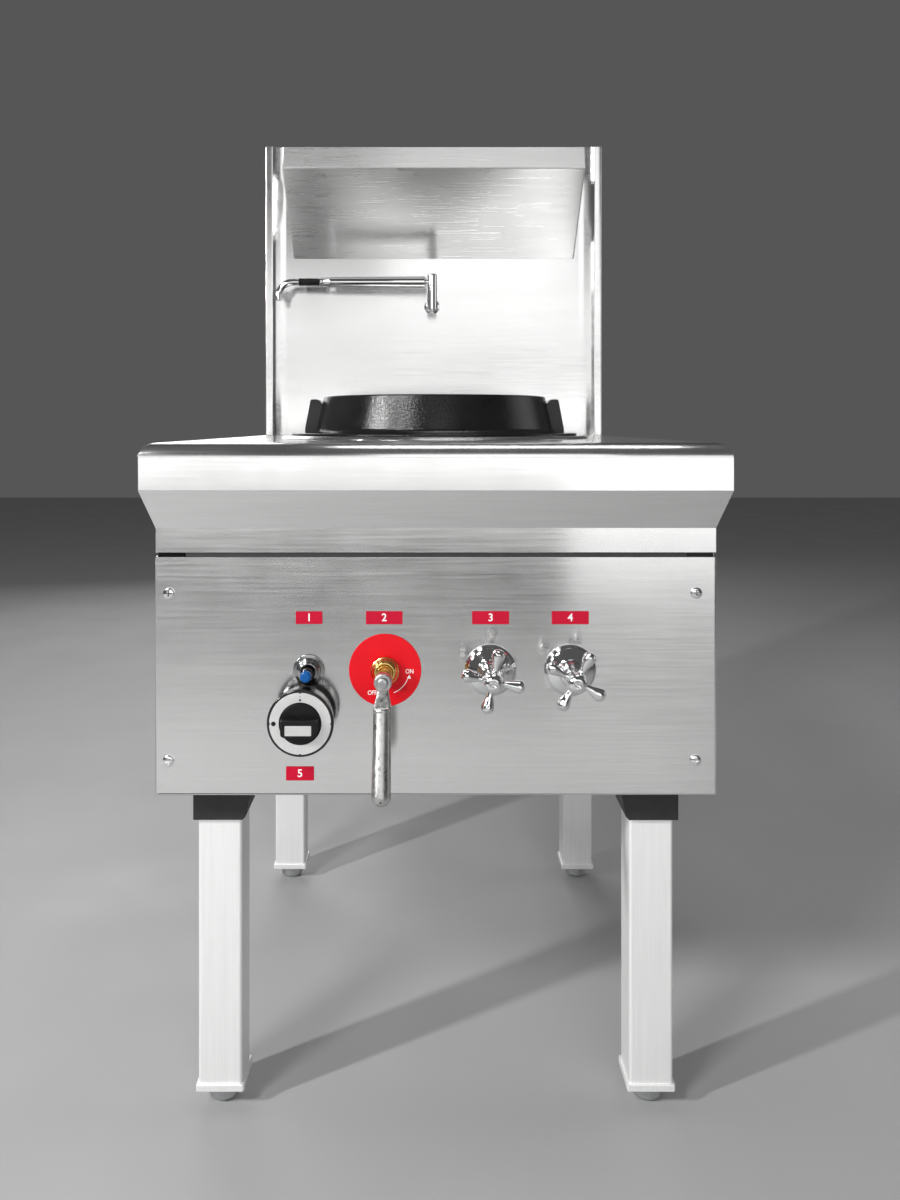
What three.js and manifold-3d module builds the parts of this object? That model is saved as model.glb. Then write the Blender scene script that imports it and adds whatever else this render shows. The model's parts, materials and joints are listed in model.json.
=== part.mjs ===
// A single-burner wok range: a stainless body on four square legs, a worktop with a rolled nose,
// a cast wok ring over a gas burner, a tall splashback with a water tank and a swing faucet,
// and a row of gas and water controls on the front panel.
// Millimetres, +Z up. The front panel's face is the plane y = 0 and the floor is z = 0
// until the last lines centre the model on its bounding box.

import * as THREE from 'three';
import { mergeVertices } from 'three/addons/utils/BufferGeometryUtils.js';
import Module from 'manifold-3d';

const wasm = await Module();
wasm.setup();

// ---------------------------------------------------------------- driving dimensions

// Sheet metal and clearances
const SHEET = 1.5;
const GAP = 0.3; // between pieces that touch on the real object
const HOLE_PLAY = 0.8; // round a pipe or a thread that passes through a sheet
const FLANGE = 30; // returns along the edges of the body panels
const PANEL_RETURN = 20; // front panel's returns
const WIDE_ROUND = 40; // sides of the ring, the chamber and what fits round them
const ROUND = 24; // sides of a round piece
const SMALL_ROUND = 14; // sides of a small round piece
const PIPE_ROUND = 8; // sides of a pipe

// Legs, from the floor up
const FOOT_RADIUS = 18;
const FOOT_HEIGHT = 20;
const FOOT_EDGE = 5;
const FOOT_STEM_RADIUS = 8;
const FOOT_STEM_LENGTH = 50;
const FOOT_TRAVEL_ROOM = 1;
const LEG_PLATE_MARGIN = 2.5; // base plate beyond the leg's faces
const LEG_PLATE_THICKNESS = 8;
const LEG_WIDTH = 50;
const LEG_LENGTH = 344;
const LEG_WALL = 1.5;
const SOCKET_WALL = 4.7;
const SOCKET_ROOF = 3.6;
const SOCKET_DEPTH = 41;
const SOCKET_GUSSET = 7; // how far the socket's inner side flares at its top
const SOCKET_CORNER = 4; // cut off its lower inner corner
const LEG_INSET = 38.5; // body's outline to the leg's outer faces
const REAR_LEG_INSET = 60; // body's back to the rear legs' back faces

// Body and worktop
const BODY_WIDTH = 620;
const BODY_DEPTH = 710;
const BODY_HEIGHT = 389.4; // front panel's lower edge to the worktop
const DECK_OVERHANG = 15;
const NOSE_RADIUS = 13;
const NOSE_HEIGHT = 52;
const SLOPE_HEIGHT = 42;
const APRON_HEIGHT = 27.5;
const PANEL_REVEAL = 4.5; // open line between the apron and the front panel
const RAIL_DEPTH = 26;
const RAIL_BELOW_REVEAL = 12;

// Splashback, rear casing and flue
const SPLASH_HEIGHT = 525;
const SPLASH_INSET = 4; // body's sides to the splashback's edges
const SPLASH_EDGE = 12; // flat strip down each side
const SPLASH_COVE = 30;
const SPLASH_COVE_DEPTH = 6.5;
const CASING_DEPTH = 130;
const CASING_DROP = 250; // how far the casing hangs below the worktop
const FLUE_INSET = 5; // chamber's sides to the flue's sides
const FLUE_DEPTH = 85;
const FLUE_REAR_SPACE = 9;
const FLUE_SUMP = 18; // bottom of the riser, below the tunnel
const FLUE_RISE = 6; // how far the riser stands above the casing
const FLUE_LIP_PLAY = 2;
const TUNNEL_WIDTH = 220;
const TUNNEL_HEIGHT = 100;
const TUNNEL_DROP = 162; // tunnel's underside, below the worktop

// Water tank on the splashback
const TANK_INSET = 50; // splashback's edges to the tank's sides
const TANK_PROJECTION = 135;
const TANK_BELOW_TOP = 37;
const TANK_FASCIA = 35;
const TANK_HEIGHT = 166;
const TANK_INLET_X = 180;
const TANK_INLET_DROP = 50; // below the tank's top
const TANK_INLET_REACH = 26; // how far the feed pipe reaches into the tank

// Wok ring and the seat under it
const RING_TOP_RADIUS = 160;
const RING_TAPER = 8; // wall's foot outside its top
const RING_FOOT = 8; // fillet between wall and flange, outward
const RING_FOOT_RISE = 6;
const RING_FLANGE_WIDTH = 29; // from the fillet to the flange's edge
const RING_FLANGE_THICKNESS = 6;
const RING_EDGE = 2; // chamfer outside the rim
const RING_WALL = 9;
const RING_BORE_TAPER = 4; // bore's foot outside its top
const RING_HEIGHT = 57.5; // flange's underside to the rim
const RING_RIM = 5; // flat rim that a wok rests on
const RING_LIP = 6;
const LUG_REACH = 18; // outside the wall, at its top and at its foot
const LUG_WIDTH = 44;
const LUG_BELOW_RIM = 3.5;
const LUG_NOTCH = 12; // chamfer between a lug's top and the ring
const SEAT_MARGIN = 16; // outside the ring's flange
const SEAT_BEAD_HEIGHT = 4.5;
const SEAT_BEAD_WIDTH = 12;
const SEAT_LEDGE = 27; // under the ring's flange
const SEAT_SPIGOT = 8;

// Combustion chamber
const CHAMBER_MARGIN = 27; // outside the worktop's opening
const CHAMBER_HEIGHT = 290;
const CHAMBER_WALL = 1.5;
const CHAMBER_DRAIN_RADIUS = 30;
const LINING_THICKNESS = 45;
const LINING_THROAT_MARGIN = 28; // inside the worktop's opening
const LINING_THROAT_HEIGHT = 40;
const STAND_WIDTH = 300;
const STAND_DEPTH = 200;
const STAND_WALL = 3;

// Burner
const BURNER_RADIUS = 92;
const BURNER_HEIGHT = 46;
const BURNER_FOOT_RADIUS = 60;
const BURNER_FOOT_HEIGHT = 8;
const BURNER_BOWL_RISE = 8;
const BURNER_EDGE = 5;
const JET_RADIUS = 6;
const JET_HEIGHT = 24;
const JET_RINGS = [[0, 1], [36, 6], [70, 12]]; // pitch radius and count
const MIXER_RADIUS = 20;
const MIXER_BORE = 16;
const MIXER_MOUTH_RADIUS = 27;
const MIXER_MOUTH_LENGTH = 24;
const MIXER_REACH = 12; // mouth's distance in front of the chamber
const MIXER_RISE = 32; // mixing tube's axis above the chamber's floor

// Gas and water pipes
const GAS_PIPE_RADIUS = 11;
const WATER_PIPE_RADIUS = 7.5;
const WATER_BRANCH_RADIUS = 6.6;
const PILOT_PIPE_RADIUS = 4;
const PIPE_WALL = 1.5;
const GAS_BEND = 24;
const WATER_BEND = 20;
const PILOT_BEND = 14;
const RISER_BEND = 10;
const PIPE_CLEARANCE = 5; // between a pipe and what it runs beside
const INLET_STUB = 32; // inlets' reach behind the back panel
const GAS_HEX_RADIUS = 20;
const WATER_HEX_RADIUS = 16;
const INLET_HEX_LENGTH = 14;
const INLET_RISE = 68; // inlets above the base pan
const INLET_ELBOW = 40; // gas elbow's distance inside the back panel
const GAS_RAIL_RISE = 48; // gas pipe's run above the main valve
const RISER_CLEARANCE = 40; // pipe runs above and below the water valves
const BRANCH_SPACING = 22; // pilot's branch beside the pilot valve
const SUPPLY_RUN = 12; // straight lengths between the supply pipe's bends

// Controls on the front panel
const CONTROL_HEIGHT = 138.4; // centre line above the front panel's lower edge
const DIAL_CLEARANCE = 1; // between the pilot's dial and the igniter's bezel
const IGNITER_X = -140;
const PILOT_X = -145;
const LEVER_X = -56;
const TANK_VALVE_X = 60;
const FAUCET_VALVE_X = 148;
const VALVE_DEPTH = 44; // valves' vertical axis behind the panel
const STEM_PLAY = 0.5;

// Main gas valve and its lever
const LEVER_PLATE_RADIUS = 40;
const LEVER_PLATE_THICKNESS = 1;
const LEVER_NUT_RADIUS = 15.5;
const LEVER_NUT_LENGTH = 13;
const LEVER_NUT_CHAMFER = 3.5;
const HOUSING_RADIUS = 9;
const HOUSING_REACH = 24;
const LEVER_STEM_RADIUS = 5;
const LEVER_EYE_RADIUS = 9.5;
const LEVER_EYE_BACK = 45;
const LEVER_EYE_FRONT = 57;
const LEVER_NECK_WIDTH = 15;
const LEVER_NECK_THICKNESS = 9;
const LEVER_NECK_DROP = 27; // eye's centre to the handle's top
const LEVER_NECK_OVERLAP = 5; // how far the neck runs into the handle
const LEVER_HANDLE_RADIUS = 9.8;
const LEVER_HANDLE_TOP_REACH = 64; // handle's axis in front of the panel, at its top
const LEVER_TIP_REACH = 92;
const LEVER_LENGTH = 115; // eye's centre to the tip
const LEVER_SCREW_RADIUS = 5.4;
const LEVER_SCREW_HEAD = 2.6;
const LEVER_SCREW_CROWN = 1.2; // chamfer round its head
const LEVER_SCREW_SHANK = 2.2;
const LEVER_SCREW_LENGTH = 12;
const MAIN_VALVE_RADIUS = 21;
const MAIN_VALVE_HALF = 34;
const VALVE_COLLAR = 10; // straight end that a pipe screws into
const VALVE_TAPER = 8; // between that end and the valve's body
const GAS_COLLAR_WALL = 5; // outside the pipe's radius
const WATER_COLLAR_WALL = 3.5;

// Pilot valve and knob
const DIAL_BASE_RADIUS = 29.5;
const DIAL_RADIUS = 35.2;
const DIAL_REACH = 38;
const DIAL_RIM = 1.8;
const DIAL_BAND = 6; // straight band behind the front face
const DIAL_FLOOR = 26;
const KNOB_RADIUS = 21.8;
const KNOB_PLAY = 0.8;
const KNOB_TRAVEL_ROOM = 5.5;
const KNOB_FACE_REACH = 39;
const KNOB_GRIP_REACH = 51;
const KNOB_GRIP_WIDTH = 9;
const KNOB_GRIP_INSET = 2.5; // grip's ends to the knob's edge
const PILOT_STEM_RADIUS = 4;
const PILOT_STEM_SEAT = 4; // how far the spindle reaches into the grip
const PILOT_STEM_ROOM = 8; // behind the spindle, for its travel
const PILOT_VALVE_RADIUS = 21;
const PILOT_VALVE_LENGTH = 62;
const PILOT_VALVE_END = 6;

// Igniter
const IGNITER_BEZEL_RADIUS = 17.5;
const IGNITER_STEP_RADIUS = 12.5;
const IGNITER_BODY_RADIUS = 10.5;
const IGNITER_BEZEL_REACH = 9;
const IGNITER_BEZEL_EDGE = 3;
const IGNITER_STEP_REACH = 18;
const IGNITER_STEP_TAPER = 2.5;
const IGNITER_BODY_LENGTH = 62;
const IGNITER_BORE_DEPTH = 26;
const BUTTON_RADIUS = 6.4;
const BUTTON_REACH = 34;
const BUTTON_EDGE = 2;
const BUTTON_PLAY = 0.6;
const BUTTON_TRAVEL_ROOM = 10;
const LEAD_RADIUS = 2.2;
const ELECTRODE_RADIUS = 4;
const PILOT_BURNER_RADIUS = 8;
const PILOT_BURNER_HEIGHT = 44;
const PILOT_BURNER_CROWN = 4;
const PILOT_BURNER_FOOT = 2; // below the pipe that feeds it
const PILOT_BURNER_BACK = 95; // in front of the ring's centre
const PILOT_BURNER_X = -70;
const ELECTRODE_X = -94;
const ELECTRODE_HEIGHT = 34; // porcelain sleeve
const ELECTRODE_FOOT = 3; // below the lead that feeds it
const ELECTRODE_ROD = 14;
const ELECTRODE_ROD_RADIUS = 1.5;
const LEAD_RUN = 26; // straight out of the igniter
const PILOT_TIP_RISE = 24; // pilot pipe above the mixing tube's axis
const LEAD_RISE = 14; // lead above the pilot pipe

// Water valves with cross handles
const BONNET_RADIUS = 28.5;
const BONNET_NECK_RADIUS = 11;
const BONNET_FLANGE = 2.5;
const BONNET_SHOULDER_RADIUS = 24;
const BONNET_SHOULDER_REACH = 7.5;
const BONNET_DOME_REACH = 14;
const BONNET_REACH = 33;
const WATER_STEM_RADIUS = 4.5;
const WATER_VALVE_RADIUS = 14;
const WATER_VALVE_HALF = 30;
const HUB_BACK = 35;
const HUB_FRONT = 63;
const HUB_RADIUS = 10.5;
const HUB_NECK_RADIUS = 7.5;
const HUB_CROWN = 5; // rounded edge of the hub's front
const ARM_REACH = 34; // hub's axis to an arm's tip
const ARM_PLANE = 49; // in front of the panel
const ARM_WAIST = 3.4;
const ARM_BULB = 6.4;
const ARM_ROOT = 4.6;
const ARM_START = 2; // from the hub's axis
const ARM_BULB_AT = 0.85; // its widest place, along the arm
const ARM_WAIST_AT = 0.45;
const TANK_HANDLE_TURN = -12; // degrees, seen from the front
const FAUCET_HANDLE_TURN = -30;

// Swing faucet
const FAUCET_HEIGHT = 234.5; // wall flange's axis above the worktop
const FAUCET_X = -3;
const FAUCET_REACH = 55; // post's axis in front of the splashback
const FAUCET_FLANGE_RADIUS = 14;
const FAUCET_FLANGE_THICKNESS = 6;
const FAUCET_SHANK_RADIUS = 8;
const FAUCET_SHANK_END = 6; // behind the splashback
const FAUCET_POST_RADIUS = 8.6;
const FAUCET_POST_FOOT = 2; // below the shank
const FAUCET_EDGE = 3; // chamfers at the post's foot and the arm's head
const FAUCET_POST_HEIGHT = 29;
const FAUCET_PIN_RADIUS = 5;
const FAUCET_PIN_HEIGHT = 10;
const ARM_HEAD_HEIGHT = 22.5;
const ARM_AXIS_RISE = 8; // arm's axis above the swivel seam
const ARM_LENGTH = 198;
const ARM_NECK_RADIUS = 6; // where the arm leaves its head
const ARM_NECK_LENGTH = 2.5; // from the post's side to the arm's shoulder
const ARM_SHOULDER = 1.5;
const ARM_ROOT_RADIUS = 10;
const ARM_END_RADIUS = 8.7;
const ARM_COLLAR_RADIUS = 8;
const ARM_COLLAR_WIDTH = 6;
const SLEEVE_LENGTH = 37;
const SLEEVE_RADIUS = 6.8;
const SPOUT_RADIUS = 5.9;
const SPOUT_WALL = 1.4;
const SPOUT_RUN = 10;
const SPOUT_BEND = 26;
const SPOUT_DROP = 32;

// ---------------------------------------------------------------- levels and planes

const LEG_BOTTOM = FOOT_HEIGHT + GAP;
const LEG_TOP = LEG_BOTTOM + LEG_PLATE_THICKNESS + LEG_LENGTH;
const SOCKET_TOP = LEG_TOP + GAP + SOCKET_ROOF;
const PAN_BOTTOM = SOCKET_TOP + GAP;
const SIDE_BOTTOM = PAN_BOTTOM - GAP - SHEET;
const BODY_BOTTOM = SIDE_BOTTOM - GAP - SHEET;
const DECK_TOP = BODY_BOTTOM + BODY_HEIGHT;
const DECK_UNDERSIDE = DECK_TOP - SHEET;
const NOSE_BOTTOM = DECK_TOP - NOSE_HEIGHT;
const APRON_TOP = NOSE_BOTTOM - SLOPE_HEIGHT;
const APRON_BOTTOM = APRON_TOP - APRON_HEIGHT;
const PANEL_TOP = APRON_BOTTOM - PANEL_REVEAL;

const HALF_BODY = BODY_WIDTH / 2;
const SIDE_FACE = HALF_BODY - SHEET - GAP; // side panels' outer faces
const SIDE_INSIDE = SIDE_FACE - SHEET;
const SHELL_FRONT = SHEET + GAP; // what stands just behind the front panel
const BACK_INSIDE = BODY_DEPTH - SHEET;
const SHELL_TOP = DECK_UNDERSIDE - GAP;

const SPLASH_WIDTH = BODY_WIDTH - 2 * SPLASH_INSET;
const SPLASH_BACK = BODY_DEPTH;
const SPLASH_FACE = SPLASH_BACK - SHEET;
const SPLASH_BOTTOM = DECK_TOP + GAP;
const SPLASH_TOP = DECK_TOP + SPLASH_HEIGHT;
const CASING_FRONT = BODY_DEPTH + GAP;
const CASING_BACK = BODY_DEPTH + CASING_DEPTH;
const CASING_BOTTOM = DECK_TOP - CASING_DROP;
const FLUE_BACK = CASING_BACK - SHEET - FLUE_REAR_SPACE;
const FLUE_FRONT = FLUE_BACK - FLUE_DEPTH;
const TUNNEL_BOTTOM = DECK_TOP - TUNNEL_DROP;
const FLUE_BOTTOM = TUNNEL_BOTTOM - FLUE_SUMP;

const RING_Y = (SPLASH_FACE - DECK_OVERHANG) / 2;
const RING_WALL_RADIUS = RING_TOP_RADIUS + RING_TAPER;
const RING_FOOT_RADIUS = RING_WALL_RADIUS + RING_FOOT;
const RING_FLANGE_RADIUS = RING_FOOT_RADIUS + RING_FLANGE_WIDTH;
const SEAT_RADIUS = RING_FLANGE_RADIUS + SEAT_MARGIN;
const SEAT_BORE = RING_FLANGE_RADIUS - SEAT_LEDGE;
const CHAMBER_RADIUS = SEAT_BORE + CHAMBER_MARGIN;
const LINING_THROAT = SEAT_BORE - LINING_THROAT_MARGIN;
const FLUE_WIDTH = 2 * (CHAMBER_RADIUS - FLUE_INSET);
const SEAT_BOTTOM = DECK_TOP + GAP;
const RING_BOTTOM = SEAT_BOTTOM + SHEET + GAP;
const CHAMBER_TOP = SHELL_TOP;
const CHAMBER_BOTTOM = CHAMBER_TOP - CHAMBER_HEIGHT;
const CHAMBER_FLOOR = CHAMBER_BOTTOM + CHAMBER_WALL;
const CHAMBER_FRONT = RING_Y - CHAMBER_RADIUS;
const MIXER_HEIGHT = CHAMBER_FLOOR + MIXER_RISE;
const MIXER_MOUTH = CHAMBER_FRONT - MIXER_REACH;
const PILOT_TIP_HEIGHT = MIXER_HEIGHT + PILOT_TIP_RISE;
const LEAD_HEIGHT = PILOT_TIP_HEIGHT + LEAD_RISE;

const CONTROL_Z = BODY_BOTTOM + CONTROL_HEIGHT;
const PILOT_Z = CONTROL_Z - DIAL_BASE_RADIUS - DIAL_CLEARANCE - IGNITER_BEZEL_RADIUS;
const INLET_HEIGHT = PAN_BOTTOM + INLET_RISE;
const GAS_RAIL_HEIGHT = CONTROL_Z + MAIN_VALVE_HALF + GAS_RAIL_RISE;
const FAUCET_RAIL_HEIGHT = CONTROL_Z + WATER_VALVE_HALF + RISER_CLEARANCE;
const TANK_RAIL_HEIGHT = FAUCET_RAIL_HEIGHT + 2 * (WATER_PIPE_RADIUS + PIPE_CLEARANCE);
const WATER_RAIL_HEIGHT = CONTROL_Z - WATER_VALVE_HALF - RISER_CLEARANCE;
const RISER_Y = (CASING_FRONT + FLUE_FRONT) / 2; // water pipes between splashback and flue
const GAS_LINE_X = -CHAMBER_RADIUS - 2 * PIPE_CLEARANCE - GAS_PIPE_RADIUS;
const FAUCET_LINE_X = CHAMBER_RADIUS + PIPE_CLEARANCE + WATER_PIPE_RADIUS;
const TANK_LINE_X = FAUCET_LINE_X + PIPE_CLEARANCE + 2 * WATER_PIPE_RADIUS;
const WATER_LINE_X = TANK_LINE_X;

const TANK_WIDTH = SPLASH_WIDTH - 2 * TANK_INSET;
const TANK_TOP = SPLASH_TOP - TANK_BELOW_TOP;
const TANK_BACK = SPLASH_FACE - GAP;
const TANK_FRONT = SPLASH_FACE - TANK_PROJECTION;
const TANK_INLET_HEIGHT = TANK_TOP - TANK_INLET_DROP;

const FAUCET_Z = DECK_TOP + FAUCET_HEIGHT;

// ---------------------------------------------------------------- materials

function material(colour, roughness, metalness) {
  return new THREE.MeshStandardMaterial({ color: colour, roughness, metalness });
}

const brushedSteel = material(0xc9cbcc, 0.35, 1);
const dullSteel = material(0x9a9c9d, 0.5, 1);
const chrome = material(0xdddfe0, 0.08, 1);
const castIron = material(0x1c1c1d, 0.45, 0.4);
const castMetal = material(0x8d8c88, 0.45, 1);
const brass = material(0xc9a24a, 0.3, 1);
const redEnamel = material(0xe0121f, 0.4, 0);
const blackPlastic = material(0x161617, 0.4, 0);
const bluePlastic = material(0x0b62b8, 0.3, 0);
const refractory = material(0xc7b9a0, 0.9, 0);
const porcelain = material(0xe8e6df, 0.35, 0);
const blackPaint = material(0x202122, 0.55, 0);
const silicone = material(0xb23324, 0.6, 0);

// ---------------------------------------------------------------- solids

// A closed geometry as a manifold solid, its faces turned outward.
function solidOf(geometry) {
  const bare = new THREE.BufferGeometry();
  bare.setAttribute('position', geometry.getAttribute('position'));
  bare.setIndex(geometry.getIndex());
  const merged = mergeVertices(bare, 1e-4);
  const corners = merged.getIndex().array;
  const triangles = [];
  for (let i = 0; i < corners.length; i += 3) {
    const [a, b, c] = [corners[i], corners[i + 1], corners[i + 2]];
    if (a !== b && b !== c && c !== a) triangles.push(a, b, c);
  }
  const vertices = merged.getAttribute('position').array;
  if (volumeOf(vertices, triangles) < 0) triangles.reverse();
  return new wasm.Manifold(new wasm.Mesh({
    numProp: 3,
    vertProperties: new Float32Array(vertices),
    triVerts: new Uint32Array(triangles),
  }));
}

function volumeOf(vertices, triangles) {
  const corner = (index) => new THREE.Vector3().fromArray(vertices, 3 * index);
  let sixfold = 0;
  for (let i = 0; i < triangles.length; i += 3) {
    const [a, b, c] = [corner(triangles[i]), corner(triangles[i + 1]), corner(triangles[i + 2])];
    sixfold += a.dot(b.cross(c));
  }
  return sixfold / 6;
}

function geometryOf(solid) {
  const mesh = solid.getMesh();
  const geometry = new THREE.BufferGeometry();
  geometry.setAttribute('position', new THREE.BufferAttribute(mesh.vertProperties, 3));
  geometry.setIndex(new THREE.BufferAttribute(mesh.triVerts, 1));
  return geometry;
}

function join(...solids) {
  return solids.reduce((whole, solid) => whole.add(solid));
}

function cut(solid, ...tools) {
  return tools.reduce((rest, tool) => rest.subtract(tool), solid);
}

function block(x0, x1, y0, y1, z0, z1) {
  const geometry = new THREE.BoxGeometry(x1 - x0, y1 - y0, z1 - z0);
  geometry.translate((x0 + x1) / 2, (y0 + y1) / 2, (z0 + z1) / 2);
  return solidOf(geometry);
}

// A closed [radius, height] profile turned about a +Z axis through (x, y).
function turnedUp(profile, x = 0, y = 0, sides = ROUND) {
  return solidOf(latheOf(profile, sides).rotateX(Math.PI / 2).translate(x, y, 0));
}

// A closed [radius, reach] profile turned about the panel's normal: reach counts outward, along -Y.
function turnedOut(profile, sides = ROUND) {
  return solidOf(latheOf(profile.map(([radius, reach]) => [radius, -reach]), sides));
}

function latheOf(profile, sides) {
  const points = profile.map(([radius, height]) => new THREE.Vector2(radius, height));
  const onAxis = points[0].x === 0 && points[points.length - 1].x === 0;
  if (!onAxis) points.push(points[0].clone());
  return new THREE.LatheGeometry(points, sides);
}

function barrel(radius, z0, z1, x = 0, y = 0, sides = ROUND) {
  return turnedUp([[0, z0], [radius, z0], [radius, z1], [0, z1]], x, y, sides);
}

function plug(radius, reach0, reach1, sides = SMALL_ROUND) {
  return turnedOut([[0, reach0], [radius, reach0], [radius, reach1], [0, reach1]], sides);
}

// A round bar between two points.
function bar(radius, from, to, sides = SMALL_ROUND) {
  const along = to.clone().sub(from);
  const geometry = new THREE.CylinderGeometry(radius, radius, along.length(), sides);
  const turn = new THREE.Quaternion().setFromUnitVectors(
    new THREE.Vector3(0, 1, 0),
    along.clone().normalize(),
  );
  geometry.applyQuaternion(turn);
  const middle = from.clone().add(to).multiplyScalar(0.5);
  geometry.translate(middle.x, middle.y, middle.z);
  return solidOf(geometry);
}

const INTO_X = new THREE.Matrix4().set(0, 0, 1, 0, 1, 0, 0, 0, 0, 1, 0, 0, 0, 0, 0, 1);
const INTO_Y = new THREE.Matrix4().set(1, 0, 0, 0, 0, 0, -1, 0, 0, 1, 0, 0, 0, 0, 0, 1);

// A (y, z) shape extruded along X.
function prismX(shape, x0, x1) {
  const geometry = extruded(shape, x1 - x0).applyMatrix4(INTO_X);
  return solidOf(geometry.translate(x0, 0, 0));
}

// An (x, z) shape extruded along Y.
function prismY(shape, y0, y1) {
  const geometry = extruded(shape, y1 - y0).applyMatrix4(INTO_Y);
  return solidOf(geometry.translate(0, y1, 0));
}

// An (x, y) shape extruded along Z.
function prismZ(shape, z0, z1) {
  return solidOf(extruded(shape, z1 - z0).translate(0, 0, z0));
}

function extruded(shape, depth) {
  return new THREE.ExtrudeGeometry(shape, { depth, bevelEnabled: false, curveSegments: 4 });
}

function polygon(points) {
  return new THREE.Shape(points.map(([x, y]) => new THREE.Vector2(x, y)));
}

function hexagon(radius, x, y) {
  const points = [];
  for (let i = 0; i < 6; i += 1) {
    const angle = i * Math.PI / 3;
    points.push([x + radius * Math.cos(angle), y + radius * Math.sin(angle)]);
  }
  return polygon(points);
}

// Straight runs joined by round bends. The parameter counts the stations, so an extrusion
// with one step for each station puts its rings at the ends of the runs and along the bends.
class PipeRoute extends THREE.Curve {
  constructor(corners, bend, ringsPerBend = 3) {
    super();
    this.stations = [corners[0].clone()];
    for (let i = 1; i < corners.length - 1; i += 1) {
      const arc = filletAt(corners[i - 1], corners[i], corners[i + 1], bend);
      this.stations.push(...arc.getPoints(ringsPerBend));
    }
    this.stations.push(corners[corners.length - 1].clone());
  }

  getPoint(t, target = new THREE.Vector3()) {
    const last = this.stations.length - 1;
    const at = THREE.MathUtils.clamp(t, 0, 1) * last;
    const before = Math.min(Math.floor(at), last - 1);
    return target.lerpVectors(this.stations[before], this.stations[before + 1], at - before);
  }

  getUtoTmapping(u) {
    return u;
  }
}

// A bend of the given radius at a corner, as a curve that starts and ends on the two runs.
function filletAt(before, corner, after, bend) {
  const back = before.clone().sub(corner).normalize();
  const on = after.clone().sub(corner).normalize();
  const half = back.angleTo(on) / 2;
  const setback = bend / Math.tan(half);
  const centre = back.clone().add(on).normalize().multiplyScalar(bend / Math.sin(half)).add(corner);
  const start = corner.clone().addScaledVector(back, setback).sub(centre);
  const axis = back.clone().cross(on).normalize().negate();
  const sweep = Math.PI - 2 * half;
  return new BendArc(centre, start, axis, sweep);
}

class BendArc extends THREE.Curve {
  constructor(centre, start, axis, sweep) {
    super();
    Object.assign(this, { centre, start, axis, sweep });
  }

  getPoint(t, target = new THREE.Vector3()) {
    return target.copy(this.start).applyAxisAngle(this.axis, t * this.sweep).add(this.centre);
  }
}

function tube(route, radius, sides = PIPE_ROUND) {
  const section = new THREE.Shape();
  section.absarc(0, 0, radius, 0, 2 * Math.PI);
  const geometry = new THREE.ExtrudeGeometry(section, {
    steps: route.stations.length - 1,
    extrudePath: route,
    curveSegments: sides / 2,
  });
  return solidOf(geometry);
}

function pipe(corners, radius, bend, bore = radius - PIPE_WALL) {
  const route = new PipeRoute(corners, bend);
  return cut(tube(route, radius), tube(route, bore));
}

function at(x, y, z) {
  return new THREE.Vector3(x, y, z);
}

// ---------------------------------------------------------------- scene graph

const range = new THREE.Group();

function piece(name, solid, finish, parent = range) {
  const mesh = new THREE.Mesh(geometryOf(solid), finish);
  mesh.name = name;
  parent.add(mesh);
  return mesh;
}

function groupAt(x, y, z) {
  const group = new THREE.Group();
  group.position.set(x, y, z);
  range.add(group);
  return group;
}

// ---------------------------------------------------------------- legs

function addLeg(side, x, y, towardCentre) {
  const corner = groupAt(x, y, 0);
  const half = LEG_WIDTH / 2;
  const hollow = half - LEG_WALL;
  const plate = half + LEG_PLATE_MARGIN;
  const plateTop = LEG_BOTTOM + LEG_PLATE_THICKNESS;
  const threadHole = FOOT_STEM_RADIUS + STEM_PLAY;

  const foot = turnedUp([
    [0, 0],
    [FOOT_RADIUS - FOOT_EDGE, 0],
    [FOOT_RADIUS, FOOT_EDGE],
    [FOOT_RADIUS, FOOT_HEIGHT],
    [FOOT_STEM_RADIUS, FOOT_HEIGHT],
    [FOOT_STEM_RADIUS, FOOT_HEIGHT + FOOT_STEM_LENGTH],
    [0, FOOT_HEIGHT + FOOT_STEM_LENGTH],
  ], 0, 0, SMALL_ROUND);
  piece(`${side}_foot`, foot, dullSteel, corner);

  const leg = cut(
    join(
      block(-plate, plate, -plate, plate, LEG_BOTTOM, plateTop),
      block(-half, half, -half, half, LEG_BOTTOM, LEG_TOP),
    ),
    block(-hollow, hollow, -hollow, hollow, plateTop, LEG_TOP + FOOT_TRAVEL_ROOM),
    barrel(threadHole, LEG_BOTTOM - FOOT_TRAVEL_ROOM, LEG_TOP, 0, 0, SMALL_ROUND),
  );
  piece(`${side}_leg`, leg, brushedSteel, corner);

  const pocket = half + GAP;
  const outer = pocket + SOCKET_WALL;
  const bottom = SOCKET_TOP - SOCKET_ROOF - SOCKET_DEPTH;
  const flare = towardCentre * SOCKET_GUSSET;
  const inner = towardCentre * outer;
  const outline = polygon([
    [-inner, SOCKET_TOP],
    [-inner, bottom],
    [inner - towardCentre * SOCKET_CORNER, bottom],
    [inner, bottom + SOCKET_CORNER],
    [inner + flare, SOCKET_TOP],
  ]);
  const socket = cut(
    prismY(outline, -outer, outer),
    block(-pocket, pocket, -pocket, pocket, bottom - 1, SOCKET_TOP - SOCKET_ROOF),
  );
  piece(`${side}_socket`, socket, blackPaint, corner);
}

function addLegs() {
  const legX = HALF_BODY - LEG_INSET - LEG_WIDTH / 2;
  const frontY = LEG_INSET + LEG_WIDTH / 2;
  const rearY = BODY_DEPTH - REAR_LEG_INSET - LEG_WIDTH / 2;
  addLeg('front_left', -legX, frontY, 1);
  addLeg('front_right', legX, frontY, -1);
  addLeg('rear_left', -legX, rearY, 1);
  addLeg('rear_right', legX, rearY, -1);
}

// ---------------------------------------------------------------- worktop and body panels

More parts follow.
